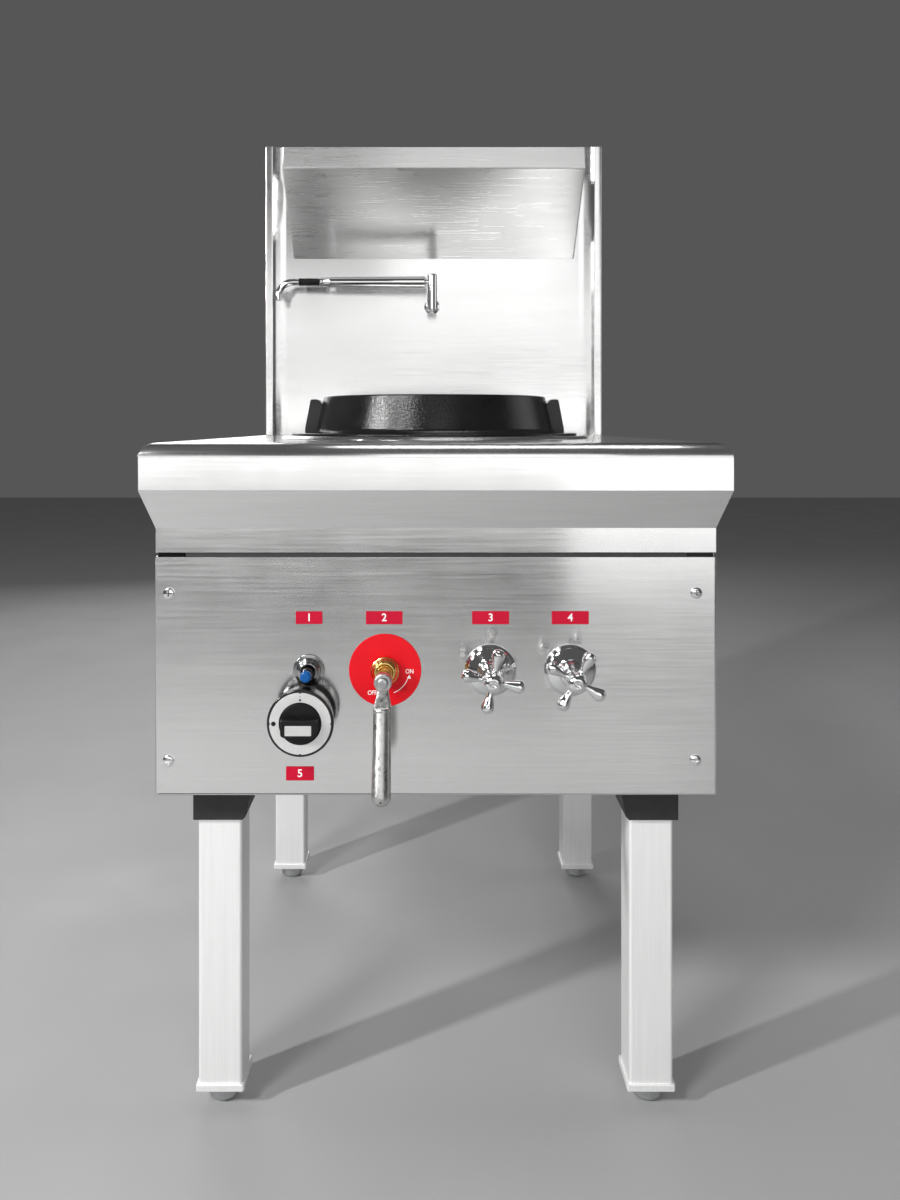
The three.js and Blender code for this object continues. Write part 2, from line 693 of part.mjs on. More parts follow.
// The worktop's edge seen along one side: apron, slope, upright nose and rounded rim.
// inset moves the line inward by the sheet, and reach runs it past the apron's lower edge.
function edgeShape(outline, inset, reach, shape) {
  const { sign, plane } = outline;
  const apron = plane - sign * inset;
  const nose = plane + sign * (DECK_OVERHANG - inset);
  const centre = plane + sign * (DECK_OVERHANG - NOSE_RADIUS);
  shape.lineTo(apron, APRON_BOTTOM - reach);
  shape.lineTo(apron, APRON_TOP);
  shape.lineTo(nose, NOSE_BOTTOM);
  shape.lineTo(nose, DECK_TOP - NOSE_RADIUS);
  const start = sign < 0 ? Math.PI : 0;
  shape.absarc(centre, DECK_TOP - NOSE_RADIUS, NOSE_RADIUS - inset, start, Math.PI / 2, sign < 0);
}

function deckSolid(inset, reach) {
  const back = BODY_DEPTH + reach;
  const lengthwise = new THREE.Shape();
  lengthwise.moveTo(back, APRON_BOTTOM - reach);
  edgeShape({ sign: -1, plane: 0 }, inset, reach, lengthwise);
  lengthwise.lineTo(back, DECK_TOP - inset);

  const left = new THREE.Shape();
  left.moveTo(0, APRON_BOTTOM - reach);
  edgeShape({ sign: -1, plane: -HALF_BODY }, inset, reach, left);
  left.lineTo(0, DECK_TOP - inset);
  const right = new THREE.Shape();
  right.moveTo(0, APRON_BOTTOM - reach);
  edgeShape({ sign: 1, plane: HALF_BODY }, inset, reach, right);
  right.lineTo(0, DECK_TOP - inset);

  const wide = HALF_BODY + DECK_OVERHANG + 1;
  const front = -DECK_OVERHANG - 1;
  const bothSides = join(prismY(left, front, back), prismY(right, front, back));
  return prismX(lengthwise, -wide, wide).intersect(bothSides);
}

function addDeck() {
  const ringHole = barrel(SEAT_BORE + HOLE_PLAY, DECK_UNDERSIDE - 1, DECK_TOP + 1, 0, RING_Y, WIDE_ROUND);
  piece('deck', cut(deckSolid(0, 0), deckSolid(SHEET, 2), ringHole), brushedSteel);

  const top = SEAT_BOTTOM + SHEET;
  const bead = SEAT_BOTTOM + SEAT_BEAD_HEIGHT;
  const inner = SEAT_RADIUS - SEAT_BEAD_WIDTH;
  const lip = SEAT_BORE - SHEET;
  const seat = turnedUp([
    [lip, SEAT_BOTTOM - SEAT_SPIGOT],
    [SEAT_BORE, SEAT_BOTTOM - SEAT_SPIGOT],
    [SEAT_BORE, SEAT_BOTTOM],
    [SEAT_RADIUS, SEAT_BOTTOM],
    [SEAT_RADIUS - SEAT_BEAD_WIDTH / 2, bead],
    [inner, top],
    [lip, top],
  ], 0, RING_Y, WIDE_ROUND);
  piece('ring_seat', seat, brushedSteel);
}

function controlHoles() {
  const through = (x, z, radius) => (
    bar(radius + HOLE_PLAY, at(x, -1, z), at(x, SHELL_FRONT, z))
  );
  return [
    through(IGNITER_X, CONTROL_Z, IGNITER_BODY_RADIUS),
    through(PILOT_X, PILOT_Z, PILOT_STEM_RADIUS),
    through(LEVER_X, CONTROL_Z, HOUSING_RADIUS),
    through(TANK_VALVE_X, CONTROL_Z, WATER_STEM_RADIUS),
    through(FAUCET_VALVE_X, CONTROL_Z, WATER_STEM_RADIUS),
  ];
}

function addFrontPanel() {
  const panel = join(
    block(-HALF_BODY, HALF_BODY, 0, SHEET, BODY_BOTTOM, PANEL_TOP),
    block(-HALF_BODY, HALF_BODY, 0, PANEL_RETURN, BODY_BOTTOM, BODY_BOTTOM + SHEET),
    block(-HALF_BODY, -HALF_BODY + SHEET, 0, PANEL_RETURN, BODY_BOTTOM, PANEL_TOP),
    block(HALF_BODY - SHEET, HALF_BODY, 0, PANEL_RETURN, BODY_BOTTOM, PANEL_TOP),
  );
  piece('front_panel', cut(panel, ...controlHoles()), brushedSteel);
}

// A rail behind the open line: the panel's screws pull on it and the apron rests against it.
function addFrontRail() {
  const half = SIDE_INSIDE - FLANGE - GAP;
  const bottom = PANEL_TOP - RAIL_BELOW_REVEAL;
  const top = APRON_BOTTOM + RAIL_BELOW_REVEAL;
  const front = SHELL_FRONT;
  const rail = join(
    block(-half, half, front, front + SHEET, bottom, top),
    block(-half, half, front, front + RAIL_DEPTH, top - SHEET, top),
    block(-half, half, front, front + RAIL_DEPTH, bottom, bottom + SHEET),
  );
  piece('front_rail', rail, dullSteel);
}

// A sheet with a return along each of its four edges, facing the body's inside.
function addSidePanel(name, side) {
  const back = BACK_INSIDE - GAP;
  const reach = SIDE_INSIDE - FLANGE;
  const spanX = (a, b) => (side < 0 ? [-b, -a] : [a, b]);
  const shell = block(...spanX(reach, SIDE_FACE), SHELL_FRONT, back, SIDE_BOTTOM, SHELL_TOP);
  const inside = block(
    ...spanX(reach - 1, SIDE_INSIDE),
    SHELL_FRONT + SHEET,
    back - SHEET,
    SIDE_BOTTOM + SHEET,
    SHELL_TOP - SHEET,
  );
  piece(name, cut(shell, inside), brushedSteel);
}

function addBasePan() {
  const half = SIDE_INSIDE - GAP;
  const front = SHELL_FRONT + SHEET + GAP;
  const back = BACK_INSIDE - SHEET - 2 * GAP;
  const shell = block(-half, half, front, back, PAN_BOTTOM, PAN_BOTTOM + FLANGE);
  const inside = block(
    -half + SHEET,
    half - SHEET,
    front + SHEET,
    back - SHEET,
    PAN_BOTTOM + SHEET,
    PAN_BOTTOM + FLANGE + 1,
  );
  piece('base_pan', cut(shell, inside), dullSteel);
}

function addBackPanel() {
  const sheet = block(-SIDE_FACE, SIDE_FACE, BACK_INSIDE, BODY_DEPTH, SIDE_BOTTOM, SHELL_TOP);
  const hole = (x, z, radius) => (
    bar(radius + HOLE_PLAY, at(x, BACK_INSIDE - 1, z), at(x, BODY_DEPTH + 1, z))
  );
  const half = TUNNEL_WIDTH / 2 + HOLE_PLAY;
  const window = block(
    -half,
    half,
    BACK_INSIDE - 1,
    BODY_DEPTH + 1,
    TUNNEL_BOTTOM - HOLE_PLAY,
    TUNNEL_BOTTOM + TUNNEL_HEIGHT + HOLE_PLAY,
  );
  const back = cut(
    sheet,
    window,
    hole(GAS_LINE_X, INLET_HEIGHT, GAS_PIPE_RADIUS),
    hole(WATER_LINE_X, WATER_RAIL_HEIGHT, WATER_PIPE_RADIUS),
    hole(FAUCET_LINE_X, FAUCET_RAIL_HEIGHT, WATER_PIPE_RADIUS),
    hole(TANK_LINE_X, TANK_RAIL_HEIGHT, WATER_PIPE_RADIUS),
  );
  piece('back_panel', back, brushedSteel);
}

// ---------------------------------------------------------------- splashback, casing, flue, tank

// The splashback from above: a flat strip down each side, a cove, and the flat panel between.
function splashOutline() {
  const half = SPLASH_WIDTH / 2;
  const strip = SPLASH_FACE - SPLASH_COVE_DEPTH;
  const stripInside = half - SPLASH_EDGE;
  const coveSteps = 6;
  const face = [];
  for (let i = 0; i <= coveSteps; i += 1) {
    const across = i / coveSteps;
    const x = stripInside - SHEET - SPLASH_COVE * (1 - across);
    face.push([x, SPLASH_FACE - (SPLASH_COVE_DEPTH - SHEET) * across * across]);
  }
  face.push([stripInside, strip], [half, strip]);
  const behind = face.map(([x, y]) => [Math.min(x, half - SHEET), y + SHEET]);
  const right = [...face, [half, SPLASH_BACK], [half - SHEET, SPLASH_BACK], ...behind.reverse()];
  const left = right.map(([x, y]) => [-x, y]).reverse();
  return polygon([...right, ...left]);
}

function addSplash() {
  const through = (x, z, radius) => (
    bar(radius + HOLE_PLAY, at(x, SPLASH_FACE - 2, z), at(x, SPLASH_BACK + 1, z))
  );
  const splash = cut(
    prismZ(splashOutline(), SPLASH_BOTTOM, SPLASH_TOP),
    through(FAUCET_X, FAUCET_Z, FAUCET_SHANK_RADIUS),
    through(TANK_INLET_X, TANK_INLET_HEIGHT, WATER_PIPE_RADIUS),
  );
  piece('splash_panel', splash, brushedSteel);
}

function addCasing() {
  const half = SPLASH_WIDTH / 2;
  const shell = block(-half, half, CASING_FRONT, CASING_BACK, CASING_BOTTOM, SPLASH_TOP);
  const inside = block(
    -half + SHEET,
    half - SHEET,
    CASING_FRONT - 1,
    CASING_BACK - SHEET,
    CASING_BOTTOM + SHEET,
    SPLASH_TOP - SHEET,
  );
  const lip = FLUE_WIDTH / 2 + FLUE_LIP_PLAY;
  const outlet = block(
    -lip,
    lip,
    FLUE_FRONT - FLUE_LIP_PLAY,
    FLUE_BACK + FLUE_LIP_PLAY,
    SPLASH_TOP - SHEET - 1,
    SPLASH_TOP + 1,
  );
  piece('rear_casing', cut(shell, inside, outlet), brushedSteel);
}

function addFlue() {
  const half = FLUE_WIDTH / 2;
  const top = SPLASH_TOP + FLUE_RISE;
  const span = TUNNEL_WIDTH / 2;
  const tunnelTop = TUNNEL_BOTTOM + TUNNEL_HEIGHT;
  const outer = join(
    block(-half, half, FLUE_FRONT, FLUE_BACK, FLUE_BOTTOM, top),
    block(-span, span, RING_Y, FLUE_FRONT + SHEET, TUNNEL_BOTTOM, tunnelTop),
  );
  const inner = join(
    block(-half + SHEET, half - SHEET, FLUE_FRONT + SHEET, FLUE_BACK - SHEET, FLUE_BOTTOM + SHEET, top + 1),
    block(
      -span + SHEET,
      span - SHEET,
      RING_Y - 1,
      FLUE_FRONT + 2 * SHEET,
      TUNNEL_BOTTOM + SHEET,
      tunnelTop - SHEET,
    ),
  );
  const drum = barrel(CHAMBER_RADIUS + GAP, CHAMBER_BOTTOM, CHAMBER_TOP, 0, RING_Y, WIDE_ROUND);
  piece('flue_duct', cut(outer, inner, drum), dullSteel);
}

function addTank() {
  const half = TANK_WIDTH / 2;
  const section = (inset, over) => polygon([
    [TANK_BACK - inset, TANK_TOP + over],
    [TANK_FRONT + inset, TANK_TOP + over],
    [TANK_FRONT + inset, TANK_TOP - TANK_FASCIA + inset / 2],
    [TANK_BACK - inset, TANK_TOP - TANK_HEIGHT + 1.5 * inset],
  ]);
  const tank = cut(
    prismX(section(0, 0), -half, half),
    prismX(section(SHEET, 1), -half + SHEET, half - SHEET),
    bar(
      WATER_PIPE_RADIUS + HOLE_PLAY,
      at(TANK_INLET_X, TANK_BACK - SHEET - 1, TANK_INLET_HEIGHT),
      at(TANK_INLET_X, TANK_BACK + 1, TANK_INLET_HEIGHT),
    ),
  );
  piece('water_tank', tank, brushedSteel);
}

// ---------------------------------------------------------------- wok ring, chamber, burner

function addWokRing() {
  const flangeTop = RING_FLANGE_THICKNESS;
  const footTop = flangeTop + RING_FOOT_RISE;
  const boreTop = RING_TOP_RADIUS - RING_WALL;
  const boreFoot = boreTop + RING_BORE_TAPER;
  const group = groupAt(0, RING_Y, RING_BOTTOM);
  const wall = turnedUp([
    [boreFoot, 0],
    [RING_FLANGE_RADIUS, 0],
    [RING_FLANGE_RADIUS, flangeTop],
    [RING_FOOT_RADIUS, flangeTop],
    [RING_WALL_RADIUS, footTop],
    [RING_TOP_RADIUS, RING_HEIGHT - RING_EDGE],
    [RING_TOP_RADIUS - RING_EDGE, RING_HEIGHT],
    [RING_TOP_RADIUS - RING_EDGE - RING_RIM, RING_HEIGHT],
    [boreTop, RING_HEIGHT - RING_LIP],
    [boreFoot, footTop],
  ], 0, 0, WIDE_ROUND);
  const lugTop = RING_HEIGHT - LUG_BELOW_RIM;
  const root = RING_TOP_RADIUS - RING_WALL / 2;
  const lug = (side) => {
    const outline = polygon([
      [side * root, flangeTop / 2],
      [side * (RING_WALL_RADIUS + LUG_REACH), flangeTop / 2],
      [side * (RING_WALL_RADIUS + LUG_REACH), footTop],
      [side * (RING_TOP_RADIUS + LUG_REACH), lugTop],
      [side * (root + LUG_NOTCH), lugTop],
      [side * root, lugTop - LUG_NOTCH],
    ]);
    return prismY(outline, -LUG_WIDTH / 2, LUG_WIDTH / 2);
  };
  piece('wok_ring', join(wall, lug(-1), lug(1)), castIron, group);
}

// The three things that enter the chamber from the front, with their clearances.
function chamberPorts() {
  const through = (x, z, radius) => (
    bar(radius + HOLE_PLAY, at(x, CHAMBER_FRONT - 1, z), at(x, RING_Y - BURNER_RADIUS, z))
  );
  return [
    through(0, MIXER_HEIGHT, MIXER_RADIUS),
    through(PILOT_BURNER_X, PILOT_TIP_HEIGHT, PILOT_PIPE_RADIUS),
    through(ELECTRODE_X, LEAD_HEIGHT, LEAD_RADIUS),
  ];
}

function exhaustWindow() {
  const half = TUNNEL_WIDTH / 2 - SHEET;
  return block(
    -half,
    half,
    RING_Y + LINING_THROAT / 2,
    RING_Y + CHAMBER_RADIUS + 1,
    TUNNEL_BOTTOM + SHEET,
    TUNNEL_BOTTOM + TUNNEL_HEIGHT - SHEET,
  );
}

function addChamber() {
  const inner = CHAMBER_RADIUS - CHAMBER_WALL;
  const drum = turnedUp([
    [CHAMBER_DRAIN_RADIUS, CHAMBER_BOTTOM],
    [CHAMBER_RADIUS, CHAMBER_BOTTOM],
    [CHAMBER_RADIUS, CHAMBER_TOP],
    [inner, CHAMBER_TOP],
    [inner, CHAMBER_FLOOR],
    [CHAMBER_DRAIN_RADIUS, CHAMBER_FLOOR],
  ], 0, RING_Y, WIDE_ROUND);
  piece('combustion_chamber', cut(drum, exhaustWindow(), ...chamberPorts()), dullSteel);

  const outside = inner - GAP;
  const bore = outside - LINING_THICKNESS;
  const bottom = CHAMBER_FLOOR + GAP;
  const top = SEAT_BOTTOM - SEAT_SPIGOT - GAP;
  const lining = turnedUp([
    [bore, bottom],
    [outside, bottom],
    [outside, top],
    [LINING_THROAT, top],
    [LINING_THROAT, top - LINING_THROAT_HEIGHT / 2],
    [bore, top - LINING_THROAT_HEIGHT],
  ], 0, RING_Y, WIDE_ROUND);
  piece('chamber_lining', cut(lining, exhaustWindow(), ...chamberPorts()), refractory);
}

function addChamberStand() {
  const half = STAND_WIDTH / 2;
  const front = RING_Y - STAND_DEPTH / 2;
  const back = RING_Y + STAND_DEPTH / 2;
  const bottom = PAN_BOTTOM + SHEET + GAP;
  const top = CHAMBER_BOTTOM - GAP;
  const stand = cut(
    block(-half, half, front, back, bottom, top),
    block(
      -half + STAND_WALL,
      half - STAND_WALL,
      front - 1,
      back + 1,
      bottom + STAND_WALL,
      top - STAND_WALL,
    ),
    barrel(CHAMBER_DRAIN_RADIUS, top - STAND_WALL - 1, top + 1, 0, RING_Y),
  );
  piece('chamber_stand', stand, dullSteel);
}

function addBurner() {
  const bottom = CHAMBER_FLOOR + GAP;
  const bowlBottom = bottom + BURNER_FOOT_HEIGHT;
  const top = bottom + BURNER_HEIGHT;
  const body = turnedUp([
    [0, bottom],
    [BURNER_FOOT_RADIUS, bottom],
    [BURNER_FOOT_RADIUS, bowlBottom],
    [BURNER_RADIUS, bowlBottom + BURNER_BOWL_RISE],
    [BURNER_RADIUS, top - BURNER_EDGE],
    [BURNER_RADIUS - BURNER_EDGE, top],
    [0, top],
  ], 0, RING_Y, ROUND);
  const jets = [];
  for (const [pitch, count] of JET_RINGS) {
    for (let i = 0; i < count; i += 1) {
      const angle = (i / count) * 2 * Math.PI;
      const x = pitch * Math.cos(angle);
      const y = RING_Y + pitch * Math.sin(angle);
      jets.push(barrel(JET_RADIUS, top - JET_RADIUS, top + JET_HEIGHT, x, y, PIPE_ROUND));
    }
  }
  const mouthBack = MIXER_MOUTH + MIXER_MOUTH_LENGTH / 2;
  const mixer = join(
    bar(MIXER_RADIUS, at(0, MIXER_MOUTH + 1, MIXER_HEIGHT), at(0, RING_Y, MIXER_HEIGHT)),
    bar(MIXER_MOUTH_RADIUS, at(0, MIXER_MOUTH, MIXER_HEIGHT), at(0, mouthBack, MIXER_HEIGHT)),
  );
  const bore = bar(
    MIXER_BORE,
    at(0, MIXER_MOUTH - 1, MIXER_HEIGHT),
    at(0, RING_Y - BURNER_RADIUS / 2, MIXER_HEIGHT),
  );
  piece('main_burner', cut(join(body, mixer, ...jets), bore), castIron);
}

// ---------------------------------------------------------------- gas side

function addGasPipes() {
  const valveTop = CONTROL_Z + MAIN_VALVE_HALF;
  const valveBottom = CONTROL_Z - MAIN_VALVE_HALF;
  const inletEnd = BODY_DEPTH + INLET_STUB;
  const elbowY = BACK_INSIDE - INLET_ELBOW;
  const branchX = PILOT_X - PILOT_VALVE_RADIUS - BRANCH_SPACING;
  const main = [
    at(GAS_LINE_X, inletEnd, INLET_HEIGHT),
    at(GAS_LINE_X, elbowY, INLET_HEIGHT),
    at(GAS_LINE_X, elbowY, GAS_RAIL_HEIGHT),
    at(GAS_LINE_X, VALVE_DEPTH, GAS_RAIL_HEIGHT),
    at(LEVER_X, VALVE_DEPTH, GAS_RAIL_HEIGHT),
    at(LEVER_X, VALVE_DEPTH, valveTop + GAP),
  ];
  const branch = [
    at(branchX, VALVE_DEPTH, GAS_RAIL_HEIGHT),
    at(branchX, VALVE_DEPTH, PILOT_Z),
    at(PILOT_X - PILOT_VALVE_RADIUS - GAP, VALVE_DEPTH, PILOT_Z),
  ];
  const mainRoute = new PipeRoute(main, GAS_BEND);
  const branchRoute = new PipeRoute(branch, PILOT_BEND);
  const hex = prismY(
    hexagon(GAS_HEX_RADIUS, GAS_LINE_X, INLET_HEIGHT),
    inletEnd - INLET_HEX_LENGTH,
    inletEnd,
  );
  const manifold = cut(
    join(tube(mainRoute, GAS_PIPE_RADIUS), tube(branchRoute, WATER_PIPE_RADIUS), hex),
    tube(mainRoute, GAS_PIPE_RADIUS - PIPE_WALL),
    tube(branchRoute, WATER_PIPE_RADIUS - PIPE_WALL),
  );
  piece('gas_manifold', manifold, dullSteel);

  const low = Math.min(valveBottom, MIXER_HEIGHT - GAS_BEND) - GAS_BEND - SUPPLY_RUN;
  const supply = pipe([
    at(LEVER_X, VALVE_DEPTH, valveBottom - GAP),
    at(LEVER_X, VALVE_DEPTH, low),
    at(0, VALVE_DEPTH, low),
    at(0, VALVE_DEPTH, MIXER_HEIGHT),
    at(0, MIXER_MOUTH - GAP, MIXER_HEIGHT),
  ], GAS_PIPE_RADIUS, GAS_BEND);
  piece('burner_supply_pipe', supply, dullSteel);
}

function addMainValve() {
  const group = groupAt(LEVER_X, 0, CONTROL_Z);
  const half = MAIN_VALVE_HALF;
  const collar = GAS_PIPE_RADIUS + GAS_COLLAR_WALL;
  const shell = turnedUp([
    [GAS_PIPE_RADIUS - PIPE_WALL, -half],
    [collar, -half],
    [collar, -half + VALVE_COLLAR],
    [MAIN_VALVE_RADIUS, -half + VALVE_COLLAR + VALVE_TAPER],
    [MAIN_VALVE_RADIUS, half - VALVE_COLLAR - VALVE_TAPER],
    [collar, half - VALVE_COLLAR],
    [collar, half],
    [GAS_PIPE_RADIUS - PIPE_WALL, half],
  ], 0, VALVE_DEPTH, SMALL_ROUND);
  const housing = bar(HOUSING_RADIUS, at(0, VALVE_DEPTH, 0), at(0, -HOUSING_REACH, 0));
  const bore = bar(
    LEVER_STEM_RADIUS + STEM_PLAY,
    at(0, VALVE_DEPTH + 1, 0),
    at(0, -HOUSING_REACH - 1, 0),
  );
  piece('main_gas_valve', cut(join(shell, housing), bore), brass, group);

  const plateBack = GAP;
  const plateFront = plateBack + LEVER_PLATE_THICKNESS;
  const opening = HOUSING_RADIUS + GAP;
  const plate = turnedOut([
    [opening, plateBack],
    [LEVER_PLATE_RADIUS, plateBack],
    [LEVER_PLATE_RADIUS, plateFront],
    [opening, plateFront],
  ], ROUND);
  piece('lever_plate', plate, redEnamel, group);

  const nutBack = plateFront + GAP;
  const nutFront = nutBack + LEVER_NUT_LENGTH;
  const nut = turnedOut([
    [opening, nutBack],
    [LEVER_NUT_RADIUS, nutBack],
    [LEVER_NUT_RADIUS, nutFront - LEVER_NUT_CHAMFER],
    [LEVER_NUT_RADIUS - LEVER_NUT_CHAMFER, nutFront],
    [opening, nutFront],
  ]);
  piece('lever_nut', nut, brass, group);

  const stemBack = -VALVE_DEPTH + HOUSING_RADIUS;
  const stem = turnedOut([
    [0, stemBack],
    [LEVER_STEM_RADIUS, stemBack],
    [LEVER_STEM_RADIUS, LEVER_EYE_FRONT],
    [LEVER_SCREW_SHANK + GAP, LEVER_EYE_FRONT],
    [LEVER_SCREW_SHANK + GAP, LEVER_EYE_FRONT - LEVER_SCREW_LENGTH - 1],
    [0, LEVER_EYE_FRONT - LEVER_SCREW_LENGTH - 1],
  ], SMALL_ROUND);
  piece('lever_spindle', stem, brass, group);
  addLever(group);
}

function addLever(group) {
  const bore = LEVER_STEM_RADIUS + GAP;
  const eye = turnedOut([
    [bore, LEVER_EYE_BACK],
    [LEVER_EYE_RADIUS, LEVER_EYE_BACK],
    [LEVER_EYE_RADIUS, LEVER_EYE_FRONT],
    [bore, LEVER_EYE_FRONT],
  ]);
  const neckFront = LEVER_EYE_FRONT - 1;
  const neckBack = neckFront - LEVER_NECK_THICKNESS;
  const handleFront = LEVER_HANDLE_TOP_REACH + LEVER_NECK_THICKNESS / 2;
  const handleBack = handleFront - LEVER_NECK_THICKNESS;
  const neckShape = polygon([
    [-neckFront, 0],
    [-neckBack, 0],
    [-neckBack, -LEVER_EYE_RADIUS],
    [-handleBack, -LEVER_NECK_DROP - LEVER_NECK_OVERLAP],
    [-handleFront, -LEVER_NECK_DROP - LEVER_NECK_OVERLAP],
    [-neckFront, -LEVER_EYE_RADIUS],
  ]);
  const neck = prismX(neckShape, -LEVER_NECK_WIDTH / 2, LEVER_NECK_WIDTH / 2);
  const top = at(0, -LEVER_HANDLE_TOP_REACH, -LEVER_NECK_DROP);
  const tip = at(0, -LEVER_TIP_REACH, -LEVER_LENGTH + LEVER_HANDLE_RADIUS);
  const ball = new THREE.SphereGeometry(LEVER_HANDLE_RADIUS, SMALL_ROUND, 8);
  ball.translate(tip.x, tip.y, tip.z);
  const shape = join(eye, neck, bar(LEVER_HANDLE_RADIUS, top, tip), solidOf(ball));
  const lever = cut(shape, plug(bore, LEVER_EYE_BACK - 1, LEVER_EYE_FRONT + 1));
  piece('main_lever', lever, castMetal, group);

  const head = LEVER_EYE_FRONT + GAP;
  const screw = turnedOut([
    [0, LEVER_EYE_FRONT - LEVER_SCREW_LENGTH],
    [LEVER_SCREW_SHANK, LEVER_EYE_FRONT - LEVER_SCREW_LENGTH],
    [LEVER_SCREW_SHANK, head],
    [LEVER_SCREW_RADIUS, head],
    [LEVER_SCREW_RADIUS, head + LEVER_SCREW_HEAD - LEVER_SCREW_CROWN],
    [LEVER_SCREW_RADIUS - LEVER_SCREW_CROWN, head + LEVER_SCREW_HEAD],
    [0, head + LEVER_SCREW_HEAD],
  ], SMALL_ROUND);
  piece('lever_screw', screw, dullSteel, group);
}

function addPilotControl() {
  const group = groupAt(PILOT_X, 0, PILOT_Z);
  const recess = KNOB_RADIUS + KNOB_PLAY;
  const stemHole = PILOT_STEM_RADIUS + STEM_PLAY;
  const dial = turnedOut([
    [stemHole, GAP],
    [DIAL_BASE_RADIUS, GAP],
    [DIAL_BASE_RADIUS, IGNITER_BEZEL_REACH],
    [DIAL_RADIUS, DIAL_REACH - DIAL_BAND],
    [DIAL_RADIUS, DIAL_REACH - DIAL_RIM],
    [DIAL_RADIUS - DIAL_RIM, DIAL_REACH],
    [recess, DIAL_REACH],
    [recess, DIAL_FLOOR],
    [stemHole, DIAL_FLOOR],
  ], ROUND);
  piece('pilot_dial', dial, blackPlastic, group);

  const knobBack = DIAL_FLOOR + KNOB_TRAVEL_ROOM;
  const socket = PILOT_STEM_RADIUS + GAP;
  const stemFront = KNOB_FACE_REACH + PILOT_STEM_SEAT;
  const disc = plug(KNOB_RADIUS, knobBack, KNOB_FACE_REACH, ROUND);
  const half = KNOB_GRIP_WIDTH / 2;
  const grip = block(
    -KNOB_RADIUS + KNOB_GRIP_INSET,
    KNOB_RADIUS - KNOB_GRIP_INSET,
    -KNOB_GRIP_REACH,
    -KNOB_FACE_REACH + 1,
    -half,
    half,
  );
  const knob = cut(join(disc, grip), plug(socket, knobBack - 1, stemFront + GAP));
  piece('pilot_knob', knob, blackPlastic, group);

  const valveBack = SHELL_FRONT + PILOT_VALVE_LENGTH;
  const stemBack = valveBack - PILOT_VALVE_END - PILOT_STEM_ROOM;
  piece('pilot_spindle', plug(PILOT_STEM_RADIUS, -stemBack, stemFront), dullSteel, group);

  const valve = cut(
    bar(PILOT_VALVE_RADIUS, at(0, SHELL_FRONT, 0), at(0, valveBack, 0), ROUND),
    bar(stemHole, at(0, SHELL_FRONT - 1, 0), at(0, valveBack - PILOT_VALVE_END, 0)),
  );
  piece('pilot_valve', valve, brass, group);

  const tipY = RING_Y - PILOT_BURNER_BACK - PILOT_BURNER_RADIUS - GAP;
  const turnY = (valveBack + CHAMBER_FRONT) / 2;
  const outlet = pipe([
    at(PILOT_X, valveBack + GAP, PILOT_Z),
    at(PILOT_X, turnY, PILOT_Z),
    at(PILOT_X, turnY, PILOT_TIP_HEIGHT),
    at(PILOT_BURNER_X, turnY, PILOT_TIP_HEIGHT),
    at(PILOT_BURNER_X, tipY, PILOT_TIP_HEIGHT),
  ], PILOT_PIPE_RADIUS, PILOT_BEND, PILOT_PIPE_RADIUS - PIPE_WALL / 2);
  piece('pilot_pipe', outlet, brass);

  const base = PILOT_TIP_HEIGHT - PILOT_PIPE_RADIUS - PILOT_BURNER_FOOT;
  const cap = base + PILOT_BURNER_HEIGHT;
  const burner = turnedUp([
    [0, base],
    [PILOT_BURNER_RADIUS, base],
    [PILOT_BURNER_RADIUS, cap - PILOT_BURNER_CROWN],
    [PILOT_BURNER_RADIUS - PILOT_BURNER_CROWN, cap],
    [0, cap],
  ], PILOT_BURNER_X, RING_Y - PILOT_BURNER_BACK, SMALL_ROUND);
  piece('pilot_burner', burner, dullSteel);
}

